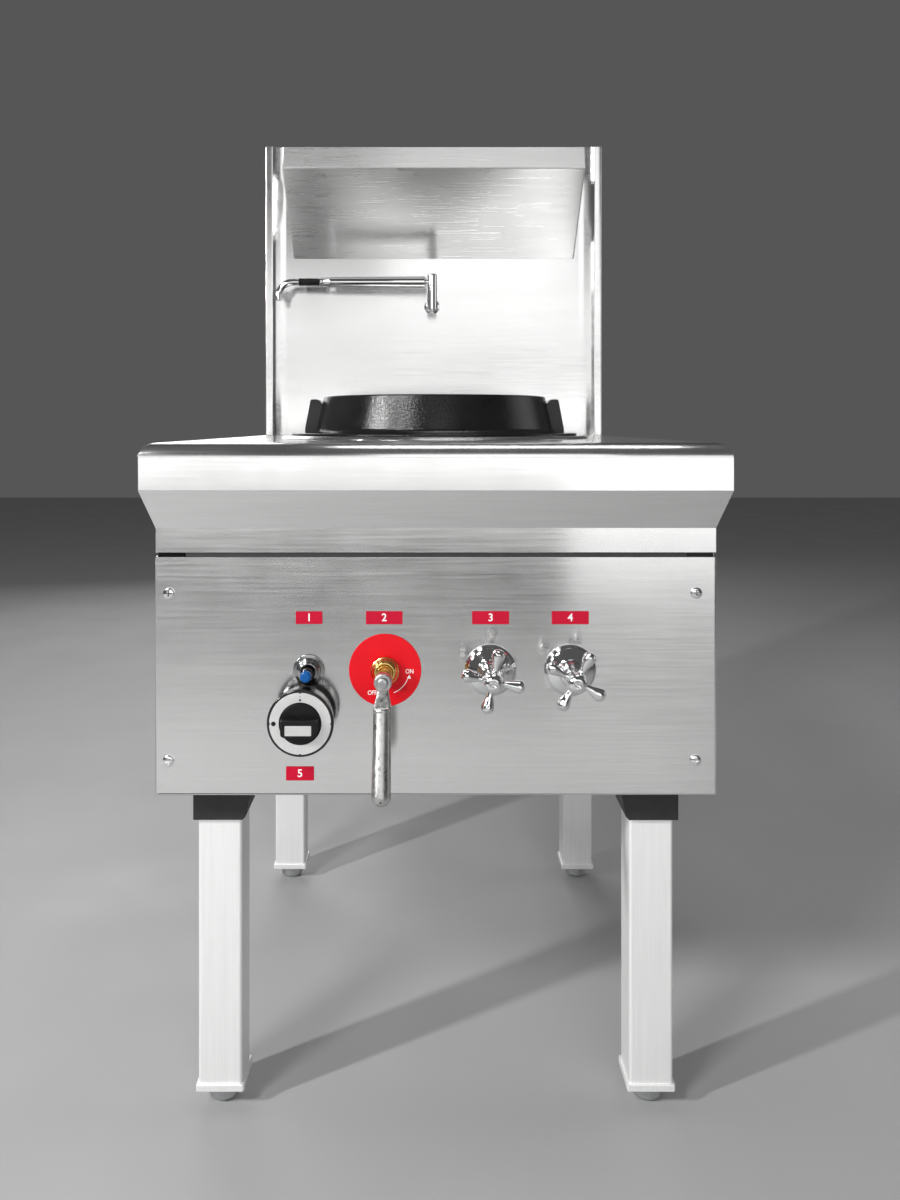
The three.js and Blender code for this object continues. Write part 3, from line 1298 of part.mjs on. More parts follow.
function addIgniter() {
  const group = groupAt(IGNITER_X, 0, CONTROL_Z);
  const bore = BUTTON_RADIUS + BUTTON_PLAY;
  const body = turnedOut([
    [0, -IGNITER_BODY_LENGTH],
    [IGNITER_BODY_RADIUS, -IGNITER_BODY_LENGTH],
    [IGNITER_BODY_RADIUS, GAP],
    [IGNITER_BEZEL_RADIUS, GAP],
    [IGNITER_BEZEL_RADIUS, IGNITER_BEZEL_REACH - IGNITER_BEZEL_EDGE],
    [IGNITER_BEZEL_RADIUS - IGNITER_BEZEL_EDGE, IGNITER_BEZEL_REACH],
    [IGNITER_STEP_RADIUS, IGNITER_BEZEL_REACH],
    [IGNITER_STEP_RADIUS - IGNITER_STEP_TAPER, IGNITER_STEP_REACH],
    [bore, IGNITER_STEP_REACH],
    [bore, -IGNITER_BORE_DEPTH],
    [0, -IGNITER_BORE_DEPTH],
  ]);
  piece('igniter_body', body, chrome, group);

  const buttonBack = -IGNITER_BORE_DEPTH + BUTTON_TRAVEL_ROOM;
  const button = turnedOut([
    [0, buttonBack],
    [BUTTON_RADIUS, buttonBack],
    [BUTTON_RADIUS, BUTTON_REACH - BUTTON_EDGE],
    [BUTTON_RADIUS - BUTTON_EDGE, BUTTON_REACH],
    [0, BUTTON_REACH],
  ], SMALL_ROUND);
  piece('igniter_button', button, bluePlastic, group);

  const leadStart = IGNITER_BODY_LENGTH + GAP;
  const tipY = RING_Y - PILOT_BURNER_BACK - ELECTRODE_RADIUS - GAP;
  const turnY = leadStart + LEAD_RUN;
  const lead = tube(new PipeRoute([
    at(IGNITER_X, leadStart, CONTROL_Z),
    at(IGNITER_X, turnY, CONTROL_Z),
    at(ELECTRODE_X, turnY, LEAD_HEIGHT),
    at(ELECTRODE_X, tipY, LEAD_HEIGHT),
  ], PILOT_BEND), LEAD_RADIUS);
  piece('igniter_lead', lead, silicone);

  const base = LEAD_HEIGHT - LEAD_RADIUS - ELECTRODE_FOOT;
  const rod = base + ELECTRODE_HEIGHT;
  const electrode = turnedUp([
    [0, base],
    [ELECTRODE_RADIUS, base],
    [ELECTRODE_RADIUS, rod],
    [ELECTRODE_ROD_RADIUS, rod],
    [ELECTRODE_ROD_RADIUS, rod + ELECTRODE_ROD],
    [0, rod + ELECTRODE_ROD],
  ], ELECTRODE_X, RING_Y - PILOT_BURNER_BACK, SMALL_ROUND);
  piece('igniter_electrode', electrode, porcelain);
}

// ---------------------------------------------------------------- water side

function addWaterValve(name, x, turn) {
  const group = groupAt(x, 0, CONTROL_Z);
  const half = WATER_VALVE_HALF;
  const collar = WATER_PIPE_RADIUS + WATER_COLLAR_WALL;
  const bore = WATER_PIPE_RADIUS - PIPE_WALL;
  const stemHole = WATER_STEM_RADIUS + STEM_PLAY;
  const upright = turnedUp([
    [bore, -half],
    [collar, -half],
    [collar, -half + VALVE_COLLAR],
    [WATER_VALVE_RADIUS, -half + VALVE_COLLAR + VALVE_TAPER],
    [WATER_VALVE_RADIUS, half - VALVE_COLLAR - VALVE_TAPER],
    [collar, half - VALVE_COLLAR],
    [collar, half],
    [bore, half],
  ], 0, VALVE_DEPTH, SMALL_ROUND);
  const nose = bar(WATER_VALVE_RADIUS, at(0, SHELL_FRONT, 0), at(0, VALVE_DEPTH - stemHole, 0));
  const stemRoom = bar(stemHole, at(0, SHELL_FRONT - 1, 0), at(0, VALVE_DEPTH, 0));
  piece(`${name}_valve`, cut(join(upright, nose), stemRoom), brass, group);

  const bonnet = turnedOut([
    [stemHole, GAP],
    [BONNET_RADIUS, GAP],
    [BONNET_RADIUS, BONNET_FLANGE],
    [BONNET_SHOULDER_RADIUS, BONNET_SHOULDER_REACH],
    [BONNET_NECK_RADIUS, BONNET_DOME_REACH],
    [BONNET_NECK_RADIUS, BONNET_REACH],
    [stemHole, BONNET_REACH],
  ]);
  piece(`${name}_valve_bonnet`, bonnet, chrome, group);

  const stem = plug(WATER_STEM_RADIUS, -VALVE_DEPTH + stemHole, ARM_PLANE);
  const hub = turnedOut([
    [0, HUB_BACK],
    [HUB_NECK_RADIUS, HUB_BACK],
    [HUB_NECK_RADIUS, ARM_PLANE - ARM_BULB],
    [HUB_RADIUS, ARM_PLANE],
    [HUB_RADIUS, HUB_FRONT - HUB_CROWN],
    [HUB_RADIUS - HUB_CROWN, HUB_FRONT],
    [0, HUB_FRONT],
  ], SMALL_ROUND);
  const arms = [0, 1, 2, 3].map((quarter) => crossArm(quarter * Math.PI / 2));
  const handle = piece(`${name}_valve_handle`, join(stem, hub, ...arms), chrome, group);
  handle.rotation.y = -THREE.MathUtils.degToRad(turn);
}

// One bulb-ended arm of a cross handle, lying in the plane of the arms.
function crossArm(angle) {
  const profile = [
    [0, ARM_START],
    [ARM_ROOT, ARM_START],
    [ARM_WAIST, ARM_REACH * ARM_WAIST_AT],
    [(ARM_WAIST + ARM_BULB) / 2, ARM_REACH * (ARM_WAIST_AT + ARM_BULB_AT) / 2],
    [ARM_BULB, ARM_REACH * ARM_BULB_AT],
    [0.75 * ARM_BULB, ARM_REACH * (1 + ARM_BULB_AT) / 2],
    [0, ARM_REACH],
  ];
  const geometry = latheOf(profile, 8).rotateZ(-Math.PI / 2).rotateY(-angle);
  return solidOf(geometry.translate(0, -ARM_PLANE, 0));
}

function addWaterPipes() {
  const valveTop = CONTROL_Z + WATER_VALVE_HALF + GAP;
  const valveBottom = CONTROL_Z - WATER_VALVE_HALF - GAP;
  const inletEnd = BODY_DEPTH + INLET_STUB;
  const supply = new PipeRoute([
    at(WATER_LINE_X, inletEnd, WATER_RAIL_HEIGHT),
    at(WATER_LINE_X, VALVE_DEPTH, WATER_RAIL_HEIGHT),
    at(TANK_VALVE_X, VALVE_DEPTH, WATER_RAIL_HEIGHT),
    at(TANK_VALVE_X, VALVE_DEPTH, valveBottom),
  ], WATER_BEND);
  const riser = new PipeRoute([
    at(FAUCET_VALVE_X, VALVE_DEPTH, WATER_RAIL_HEIGHT),
    at(FAUCET_VALVE_X, VALVE_DEPTH, valveBottom),
  ], WATER_BEND);
  const hex = prismY(
    hexagon(WATER_HEX_RADIUS, WATER_LINE_X, WATER_RAIL_HEIGHT),
    inletEnd - INLET_HEX_LENGTH,
    inletEnd,
  );
  const manifold = cut(
    join(tube(supply, WATER_PIPE_RADIUS), tube(riser, WATER_BRANCH_RADIUS), hex),
    tube(supply, WATER_PIPE_RADIUS - PIPE_WALL),
    tube(riser, WATER_BRANCH_RADIUS - PIPE_WALL),
  );
  piece('water_manifold', manifold, brass);

  const shankEnd = SPLASH_BACK + FAUCET_SHANK_END;
  const faucetFeed = pipe([
    at(FAUCET_VALVE_X, VALVE_DEPTH, valveTop),
    at(FAUCET_VALVE_X, VALVE_DEPTH, FAUCET_RAIL_HEIGHT),
    at(FAUCET_LINE_X, VALVE_DEPTH, FAUCET_RAIL_HEIGHT),
    at(FAUCET_LINE_X, RISER_Y, FAUCET_RAIL_HEIGHT),
    at(FAUCET_LINE_X, RISER_Y, FAUCET_Z),
    at(FAUCET_X, RISER_Y, FAUCET_Z),
    at(FAUCET_X, shankEnd + GAP, FAUCET_Z),
  ], WATER_PIPE_RADIUS, RISER_BEND);
  piece('faucet_feed_pipe', faucetFeed, brass);

  const tankFeed = pipe([
    at(TANK_VALVE_X, VALVE_DEPTH, valveTop),
    at(TANK_VALVE_X, VALVE_DEPTH, TANK_RAIL_HEIGHT),
    at(TANK_LINE_X, VALVE_DEPTH, TANK_RAIL_HEIGHT),
    at(TANK_LINE_X, RISER_Y, TANK_RAIL_HEIGHT),
    at(TANK_LINE_X, RISER_Y, TANK_INLET_HEIGHT),
    at(TANK_INLET_X, RISER_Y, TANK_INLET_HEIGHT),
    at(TANK_INLET_X, TANK_BACK - TANK_INLET_REACH, TANK_INLET_HEIGHT),
  ], WATER_PIPE_RADIUS, RISER_BEND);
  piece('tank_feed_pipe', tankFeed, brass);
}

function addFaucet() {
  const group = groupAt(FAUCET_X, SPLASH_FACE - FAUCET_REACH, FAUCET_Z);
  const wall = FAUCET_REACH - GAP;
  const shankEnd = FAUCET_REACH + SHEET + FAUCET_SHANK_END;
  const seam = FAUCET_POST_HEIGHT;
  const foot = -FAUCET_POST_RADIUS - FAUCET_POST_FOOT;
  const body = join(
    bar(
      FAUCET_FLANGE_RADIUS,
      at(0, wall - FAUCET_FLANGE_THICKNESS, 0),
      at(0, wall, 0),
      ROUND,
    ),
    bar(FAUCET_SHANK_RADIUS, at(0, 0, 0), at(0, shankEnd, 0)),
    turnedUp([
      [0, foot],
      [FAUCET_POST_RADIUS - FAUCET_EDGE, foot],
      [FAUCET_POST_RADIUS, foot + FAUCET_EDGE],
      [FAUCET_POST_RADIUS, seam],
      [FAUCET_PIN_RADIUS, seam],
      [FAUCET_PIN_RADIUS, seam + FAUCET_PIN_HEIGHT],
      [0, seam + FAUCET_PIN_HEIGHT],
    ], 0, 0, SMALL_ROUND),
  );
  piece('faucet_body', body, chrome, group);

  const arm = new THREE.Group();
  arm.position.set(0, 0, seam + GAP);
  group.add(arm);
  const pinHole = FAUCET_PIN_RADIUS + STEM_PLAY;
  const head = turnedUp([
    [0, FAUCET_PIN_HEIGHT + GAP],
    [pinHole, FAUCET_PIN_HEIGHT + GAP],
    [pinHole, 0],
    [FAUCET_POST_RADIUS, 0],
    [FAUCET_POST_RADIUS, ARM_HEAD_HEIGHT - FAUCET_EDGE],
    [FAUCET_POST_RADIUS - FAUCET_EDGE, ARM_HEAD_HEIGHT],
    [0, ARM_HEAD_HEIGHT],
  ], 0, 0, SMALL_ROUND);
  const shoulder = FAUCET_POST_RADIUS + ARM_NECK_LENGTH;
  const armGeometry = latheOf([
    [0, 0],
    [ARM_NECK_RADIUS, 0],
    [ARM_NECK_RADIUS, shoulder],
    [ARM_ROOT_RADIUS - ARM_SHOULDER, shoulder],
    [ARM_ROOT_RADIUS, shoulder + ARM_SHOULDER],
    [ARM_END_RADIUS, ARM_LENGTH - ARM_COLLAR_WIDTH],
    [ARM_COLLAR_RADIUS, ARM_LENGTH - ARM_COLLAR_WIDTH],
    [ARM_COLLAR_RADIUS, ARM_LENGTH],
    [0, ARM_LENGTH],
  ], SMALL_ROUND).rotateZ(Math.PI / 2).translate(0, 0, ARM_AXIS_RISE);
  const pinRoom = barrel(pinHole, -1, FAUCET_PIN_HEIGHT + GAP, 0, 0, SMALL_ROUND);
  piece('faucet_arm', cut(join(head, solidOf(armGeometry)), pinRoom), chrome, arm);

  const sleeveStart = -ARM_LENGTH - GAP;
  const sleeveEnd = sleeveStart - SLEEVE_LENGTH;
  const sleeve = bar(
    SLEEVE_RADIUS,
    at(sleeveStart, 0, ARM_AXIS_RISE),
    at(sleeveEnd, 0, ARM_AXIS_RISE),
  );
  piece('faucet_sleeve', sleeve, blackPlastic, arm);

  const spoutStart = sleeveEnd - GAP;
  const bendX = spoutStart - SPOUT_RUN - SPOUT_BEND;
  const spout = pipe([
    at(spoutStart, 0, ARM_AXIS_RISE),
    at(bendX, 0, ARM_AXIS_RISE),
    at(bendX, 0, ARM_AXIS_RISE - SPOUT_DROP),
  ], SPOUT_RADIUS, SPOUT_BEND, SPOUT_RADIUS - SPOUT_WALL);
  piece('faucet_spout', spout, chrome, arm);
}

// ---------------------------------------------------------------- assembly

addLegs();
addDeck();
addFrontPanel();
addFrontRail();
addSidePanel('left_side_panel', -1);
addSidePanel('right_side_panel', 1);
addBasePan();
addBackPanel();
addSplash();
addCasing();
addFlue();
addTank();
addWokRing();
addChamber();
addChamberStand();
addBurner();
addGasPipes();
addMainValve();
addPilotControl();
addIgniter();
addWaterValve('tank', TANK_VALVE_X, TANK_HANDLE_TURN);
addWaterValve('faucet', FAUCET_VALVE_X, FAUCET_HANDLE_TURN);
addWaterPipes();
addFaucet();

// The origin goes to the middle of the bounding box, at the floor.
const bounds = new THREE.Box3().setFromObject(range);
const middle = bounds.getCenter(new THREE.Vector3());
range.position.set(-middle.x, -middle.y, -bounds.min.z);

export default range;
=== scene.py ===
# The looks of a one-burner wok range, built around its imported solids.
# The frame is in metres, with +Z up, the front towards -Y and the floor at z = 0.
# Named sizes and profiles are in millimetres, and MM turns them into the frame's metres.

import json
from math import cos, pi, radians, sin, tan

import bmesh
import bpy
from mathutils import Matrix, Vector

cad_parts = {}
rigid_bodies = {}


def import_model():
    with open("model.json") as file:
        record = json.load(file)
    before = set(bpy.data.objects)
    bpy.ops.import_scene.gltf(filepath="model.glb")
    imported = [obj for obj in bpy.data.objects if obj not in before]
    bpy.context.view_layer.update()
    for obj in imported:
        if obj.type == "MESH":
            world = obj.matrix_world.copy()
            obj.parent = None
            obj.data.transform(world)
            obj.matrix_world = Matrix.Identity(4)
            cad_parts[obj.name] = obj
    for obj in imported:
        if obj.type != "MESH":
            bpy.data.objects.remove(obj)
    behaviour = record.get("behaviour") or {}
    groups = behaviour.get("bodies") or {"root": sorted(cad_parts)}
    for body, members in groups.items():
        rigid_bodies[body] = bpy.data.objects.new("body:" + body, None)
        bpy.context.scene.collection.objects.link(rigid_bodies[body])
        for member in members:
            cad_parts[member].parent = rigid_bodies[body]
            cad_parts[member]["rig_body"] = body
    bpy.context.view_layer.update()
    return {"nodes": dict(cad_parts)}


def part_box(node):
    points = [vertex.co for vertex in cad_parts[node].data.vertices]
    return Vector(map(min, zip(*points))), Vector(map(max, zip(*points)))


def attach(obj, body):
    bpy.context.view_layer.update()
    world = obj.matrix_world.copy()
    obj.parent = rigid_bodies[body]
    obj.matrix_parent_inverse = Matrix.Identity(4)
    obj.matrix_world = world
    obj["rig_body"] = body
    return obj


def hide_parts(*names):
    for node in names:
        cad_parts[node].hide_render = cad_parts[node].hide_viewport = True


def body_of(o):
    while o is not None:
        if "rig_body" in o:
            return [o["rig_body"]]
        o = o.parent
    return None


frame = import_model()
NODES = frame["nodes"]

MM = 0.001
FIXED = "range_body"  # the body of everything that does not move

SHEET = 1.5
FOLD = 2.2  # outside radius of a folded edge
EDGE = 0.4  # broken edge of a cut sheet
GAP = 0.3  # between two pieces that do not touch
SKIN = 0.5  # voxel of the skin over a cast shape
FINE = 96  # sides of a large round piece
MEDIUM = 64
SMALL = 40
SHARP = 32  # degrees between faces above which an edge stays sharp
NOUGHT = 1e-9  # a point of a profile nearer to the axis than this lies on it

# ---------- places read from the frame


def low(node):
    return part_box(node)[0]


def high(node):
    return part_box(node)[1]


def middle(node):
    return (low(node) + high(node)) / 2


PANEL = Vector((0, low("front_panel").y, 0))  # its face, in the middle at the floor
DECK_TOP = high("deck").z
RING_CENTRE = middle("ring_seat")


def axis_of(node):
    """Where the axis of a control meets the face of the front panel."""
    return Vector((middle(node).x, PANEL.y, middle(node).z))


def shifted(spot, x, out, z):
    """A spot moved to the right, out of the panel and up."""
    return spot + Vector((x, -out, z)) * MM


LEVER_AXIS = axis_of("lever_plate")
DIAL_AXIS = axis_of("pilot_dial")
IGNITER_AXIS = axis_of("igniter_body")

# ---------- materials

FINISHES = {}


class Finish:
    """One procedural material and the few nodes that its variation is made of."""

    def __init__(self, name):
        self.material = FINISHES[name] = bpy.data.materials.new(name)
        self.material.use_nodes = True
        self.tree = self.material.node_tree
        self.shader = self.tree.nodes["Principled BSDF"]
        self.place = self.node("ShaderNodeTexCoord").outputs["Object"]

    def feed(self, socket, value):
        """Sets an input, or links it where the value is another node's output."""
        if isinstance(value, bpy.types.NodeSocket):
            self.tree.links.new(value, socket)
        else:
            socket.default_value = value

    def node(self, kind, inputs=None, **settings):
        made = self.tree.nodes.new(kind)
        for key, value in settings.items():
            setattr(made, key, value)
        for key, value in (inputs or {}).items():
            self.feed(made.inputs[key], value)
        return made

    def look(self, **values):
        """Feeds inputs of the shader, named with _ for each space."""
        for key, value in values.items():
            self.feed(self.shader.inputs[key.replace("_", " ")], value)

    def noise(self, scale, detail=2.0, vector=None, rough=0.5):
        inputs = {"Scale": scale, "Detail": detail, "Roughness": rough, "Vector": vector or self.place}
        return self.node("ShaderNodeTexNoise", inputs).outputs["Fac"]

    def stretched(self, scale):
        inputs = {0: self.place, 1: scale}
        return self.node("ShaderNodeVectorMath", inputs, operation="MULTIPLY").outputs[0]

    def span(self, value, start, end, lowest=0.3, highest=0.7):
        """A noise, whose values lie mostly between lowest and highest, mapped to start and end."""
        inputs = {"Value": value, "From Min": lowest, "From Max": highest, "To Min": start, "To Max": end}
        return self.node("ShaderNodeMapRange", inputs).outputs["Result"]

    def sum(self, first, second, operation="ADD"):
        return self.node("ShaderNodeMath", {0: first, 1: second}, operation=operation).outputs[0]

    def blend(self, *parts):
        """The sum of several noises, each given as (value, start, end) of its span."""
        total = self.span(*parts[0])
        for part in parts[1:]:
            total = self.sum(total, self.span(*part))
        return total

    def pick(self, choice, first, second, kind="RGBA"):
        made = self.node("ShaderNodeMix", {"Factor": choice}, data_type=kind)
        sockets = [s for s in made.inputs if s.name in ("A", "B") and s.enabled]
        for socket, value in zip(sockets, (first, second)):
            self.feed(socket, value)
        return next(s for s in made.outputs if s.enabled)

    def tint(self, value, darker, lighter):
        self.look(Base_Color=self.pick(value, (*darker, 1), (*lighter, 1)))

    def bump(self, height, depth, strength=1.0):
        """A relief of this depth in millimetres."""
        inputs = {"Strength": strength, "Distance": depth * MM, "Height": height}
        self.look(Normal=self.node("ShaderNodeBump", inputs).outputs["Normal"])


def shade(colour, factor):
    return tuple(min(1.0, channel * factor) for channel in colour)


def plain(name, colour, rough, spread=0.06, size=60.0, grain=0.0, grain_size=900.0, **constants):
    """A finish whose colour and gloss drift softly, with an optional fine grain."""
    made = Finish(name)
    drift = made.noise(size, 3.0)
    made.tint(made.span(drift, 0.0, 1.0), shade(colour, 1 - spread), shade(colour, 1 + spread))
    made.look(Roughness=made.span(made.noise(size * 2.3, 2.0), rough * 0.85, rough * 1.15))
    if grain:
        made.bump(made.noise(grain_size, 2.0), grain)
    made.look(**constants)


GRAIN_FINE = (30.0, 1500.0)  # noise cells per metre along and across the brushing
GRAIN_STROKE = (9.0, 430.0)  # the same for the strokes that the eye can pick out
GRAIN_BAND = (1.5, 60.0)  # and for the wider bands of a polishing belt
SIDEWAYS = 0.7  # a face whose normal has more of X than this is brushed along Y
FLANGE_SHADE = (0.02,) * 3  # painted shade on the hidden front flange of a side sheet, for the dark gap above the front panel where it shows


def brushed(name, colour, rough, upright=False, metal=1.0, twist=0.86, shaded_flange=False):
    """Brushed sheet: fine strokes along the grain, and highlights that smear across it."""
    made = Finish(name)
    normal = made.node("ShaderNodeNewGeometry").outputs["Normal"]
    if not upright:
        split = made.node("ShaderNodeSeparateXYZ", {0: normal})
        sideways = made.sum(made.sum(split.outputs["X"], 0.0, "ABSOLUTE"), SIDEWAYS, "GREATER_THAN")

    def grain(cells, detail):
        along, across = cells
        scale = (across, across, along)
        if not upright:
            scale = made.pick(sideways, (along, across, across), (across, along, across), "VECTOR")
        return made.noise(1.0, detail, made.stretched(scale), 0.55)

    fine = grain(GRAIN_FINE, 2.0)
    stroke = grain(GRAIN_STROKE, 3.0)
    band = grain(GRAIN_BAND, 2.0)
    cloud = made.noise(6.0, 3.0, None, 0.55)
    smudge = made.noise(19.0, 3.0, None, 0.6)
    tone = made.blend((fine, -0.2, 0.2), (stroke, -0.45, 0.45), (band, -0.15, 0.15), (cloud, -0.2, 0.2))
    tone = made.span(tone, 0.0, 1.0, -1.0, 1.0)
    steel = made.pick(tone, (*shade(colour, 0.92), 1), (*shade(colour, 1.06), 1))
    # painted shade: faces turned to the front go near-black, as if the flange lay in shade in the gap above
    # the front panel
    if shaded_flange:
        flange_shade_mask = made.sum(split.outputs["Y"], -0.9, "LESS_THAN")
        steel = made.pick(flange_shade_mask, steel, (*FLANGE_SHADE, 1))
    made.look(Base_Color=steel)
    gloss = (stroke, rough * 0.85, rough * 1.15)
    made.look(Roughness=made.blend(gloss, (cloud, -0.015, 0.02), (smudge, -0.01, 0.015)))

    across = made.node("ShaderNodeVectorMath", {0: normal}, operation="CROSS_PRODUCT")
    grain_way = (0.0, 0.0, 1.0)
    if not upright:
        grain_way = made.pick(sideways, (1.0, 0.0, 0.0), (0.0, 1.0, 0.0), "VECTOR")
    made.feed(across.inputs[1], grain_way)
    made.look(Tangent=across.outputs[0], Metallic=metal, Anisotropic=twist)


def cast_black():
    """Black enamelled iron: a deep gloss over the orange peel of the casting."""
    made = Finish("black_cast_iron")
    peel = made.noise(380.0, 1.5)
    pits = made.noise(1300.0, 1.0)
    cloud = made.noise(22.0, 3.0)
    made.tint(made.span(cloud, 0.0, 1.0), (0.008,) * 3, (0.016, 0.016, 0.0165))
    made.look(Roughness=made.blend((cloud, 0.06, 0.09), (pits, -0.01, 0.02)))
    made.bump(made.sum(peel, made.span(pits, 0.0, 0.2)), 0.28)
    made.look(Specular_IOR_Level=0.34)


def worn_cast():
    """The lever's tumbled metal: mottled, a little scratched along its length."""
    made = Finish("cast_metal")
    mottle = made.noise(170.0, 4.0, None, 0.6)
    scratch = made.noise(1.0, 3.0, made.stretched((900.0, 900.0, 40.0)), 0.6)
    tone = made.blend((mottle, 0.0, 0.65), (scratch, 0.0, 0.35))
    made.tint(tone, (0.40, 0.40, 0.395), (0.74, 0.735, 0.72))
    made.look(Roughness=made.span(mottle, 0.26, 0.42))
    made.bump(made.sum(mottle, made.span(scratch, 0.0, 0.4)), 0.10, 0.7)
    made.look(Metallic=1.0)


def refractory():
    """The chamber's lining: a crumbly pale stone with soot on it."""
    made = Finish("refractory")
    crumb = made.noise(260.0, 4.0, None, 0.65)
    soot = made.noise(16.0, 3.0)
    made.tint(made.blend((crumb, 0.0, 0.5), (soot, 0.0, 0.5)), (0.36, 0.31, 0.25), (0.66, 0.60, 0.51))
    made.look(Roughness=made.span(crumb, 0.85, 0.97))
    made.bump(crumb, 0.9, 0.8)


STEEL = (0.80, 0.80, 0.795)
brushed("brushed_stainless", STEEL, 0.16, twist=0.82)
# the side sheets: the same steel, with painted shade on their front flanges
brushed("brushed_shaded_flange", STEEL, 0.16, twist=0.82, shaded_flange=True)
brushed("brushed_tank", STEEL, 0.3, twist=0.93)
brushed("brushed_legs", (0.93, 0.93, 0.925), 0.45, upright=True, metal=0.45, twist=0.4)
plain("dull_steel", (0.56, 0.57, 0.58), 0.42, 0.10, 30.0, 0.05, 700.0, Metallic=1.0)
plain("chrome", (0.84, 0.845, 0.85), 0.055, 0.015, 25.0, Metallic=1.0)
plain("satin_chrome", (0.40, 0.405, 0.41), 0.16, 0.03, 60.0, Metallic=1.0)
worn_cast()
cast_black()
plain("brass", (0.83, 0.60, 0.22), 0.22, 0.05, 90.0, 0.02, 1200.0, Metallic=1.0)
plain("red_enamel", (0.70, 0.002, 0.010), 0.38, 0.03, 40.0, 0.01, 800.0, Specular_IOR_Level=0.2)
plain("crimson_label", (0.52, 0.004, 0.030), 0.4, 0.03, 90.0, Specular_IOR_Level=0.15)
plain("black_paint", (0.016,) * 3, 0.52, 0.15, 50.0, 0.12, 1000.0)
plain("black_gloss", (0.012,) * 3, 0.10, 0.10, 40.0)
plain("black_plastic", (0.007,) * 3, 0.34, 0.10, 60.0, 0.02, 1600.0, Specular_IOR_Level=0.25)
plain("blue_plastic", (0.003, 0.085, 0.30), 0.2, 0.06, 120.0, Specular_IOR_Level=0.3)
refractory()
plain("porcelain", (0.86, 0.85, 0.82), 0.16, 0.02, 60.0)
plain("red_silicone", (0.46, 0.05, 0.03), 0.5, 0.08, 80.0)
# painted shade: near-black steel for the front rail, which shows only as the dark gap between the worktop's
# apron and the front panel
plain("rail_painted_shade", (0.05,) * 3, 0.6, 0.1, 30.0, Metallic=0.5)
plain("white_print", (0.92,) * 3, 0.4, 0.02, 200.0)
plain("silver_plate", (0.52, 0.52, 0.51), 0.4, 0.03, 200.0, 0.01, 1500.0)
plain("silver_ring", (0.74, 0.74, 0.735), 0.38, 0.04, 120.0, 0.01, 1500.0, Metallic=0.6)

# ---------- mesh tools


def object_of(name, data):
    made = bpy.data.objects.new(name, data)
    bpy.context.scene.collection.objects.link(made)
    return made


def shaded(obj, sharp=SHARP):
    """Smooth shading that keeps the edges between faces at more than this angle."""
    obj.data.polygons.foreach_set("use_smooth", [True] * len(obj.data.polygons))
    obj.data.set_sharp_from_angle(angle=radians(sharp))
    return obj


def mesh_of(name, points, faces):
    mesh = bpy.data.meshes.new(name)
    mesh.from_pydata([tuple(p) for p in points], [], faces)
    work = bmesh.new()
    work.from_mesh(mesh)
    bmesh.ops.remove_doubles(work, verts=work.verts, dist=1e-7)
    bmesh.ops.recalc_face_normals(work, faces=work.faces)
    work.to_mesh(mesh)
    work.free()
    return shaded(object_of(name, mesh))


def bands(rings):
    """The faces between each ring of corners and the next. A ring may be the same corner throughout."""
    faces = []
    for first, second in zip(rings, rings[1:]):
        for k in range(len(first)):
            n = (k + 1) % len(first)
            corners = list(dict.fromkeys([first[k], first[n], second[n], second[k]]))
            if len(corners) > 2:
                faces.append(corners)
    return faces


def oblong(half_width, half_height):
    """The corners of a rectangle around nought."""
    return [(x * half_width, y * half_height) for x, y in ((-1, -1), (1, -1), (1, 1), (-1, 1))]


def round_turn(count):
    """The angles of this many even steps round a circle."""
    return [2 * pi * k / count for k in range(count)]


STRAIGHT = 0.03  # a turn of fewer radians than this gets no round
MOST_OF_RUN = 0.49  # share of the run between two corners that the round of one may take


def rounded(points, radius=0.0, closed=False, steps=5):
    """The line through these points with its corners rounded. A point may bring its own radius."""
    line = []
    count = len(points)
    for i, point in enumerate(points):
        here = Vector(point[:2])
        size = point[2] if len(point) > 2 else radius
        if size <= 0 or (not closed and i in (0, count - 1)):
            line.append(here)
            continue
        back = Vector(points[i - 1][:2]) - here
        on = Vector(points[(i + 1) % count][:2]) - here
        turn = back.angle(on)
        if pi - turn < STRAIGHT:
            line.append(here)
            continue
        setback = min(size / tan(turn / 2), MOST_OF_RUN * back.length, MOST_OF_RUN * on.length)
        real = setback * tan(turn / 2)
        back.normalize()
        on.normalize()
        centre = here + (back + on).normalized() * (real / sin(turn / 2))
        start = here + back * setback - centre
        end = here + on * setback - centre
        arc = (pi - turn) * (1 if start.cross(end) > 0 else -1)
        line += [centre + Matrix.Rotation(arc * k / steps, 2) @ start for k in range(steps + 1)]
    return line


def on_axis(centre, axis, radius, angle, height):
    """A point round an axis that runs up, out of the panel or to the left."""
    across = radius * cos(angle)
    aside = radius * sin(angle)
    if axis == "up":
        return Vector((centre[0] + across, centre[1] + aside, centre[2] + height))
    if axis == "out":
        return Vector((centre[0] + across, centre[1] - height, centre[2] + aside))
    return Vector((centre[0] - height, centre[1] + across, centre[2] + aside))


def lathe(name, points, centre, axis="out", sides=MEDIUM, steps=5):
    """A profile turned about an axis. A point is (radius, height) or (radius, height, rounding)."""
    closed = points[0][0] > 0  # a ring's profile, where others run from the axis to the axis
    profile = rounded([[size * MM for size in point] for point in points], closed=closed, steps=steps)
    corners = []
    rings = []
    for radius, height in profile:
        if radius < NOUGHT:
            rings.append([len(corners)] * sides)
            corners.append(on_axis(centre, axis, 0, 0, height))
            continue
        rings.append(range(len(corners), len(corners) + sides))
        corners += [on_axis(centre, axis, radius, angle, height) for angle in round_turn(sides)]
    if closed:
        rings.append(rings[0])
    return mesh_of(name, corners, bands(rings))


def rod(name, radius, start, end, centre, sides=MEDIUM):
    """A plain cylinder that leaves the panel, from one height to another."""
    return lathe(name, [(0, start), (radius, start), (radius, end), (0, end)], centre, sides=sides)


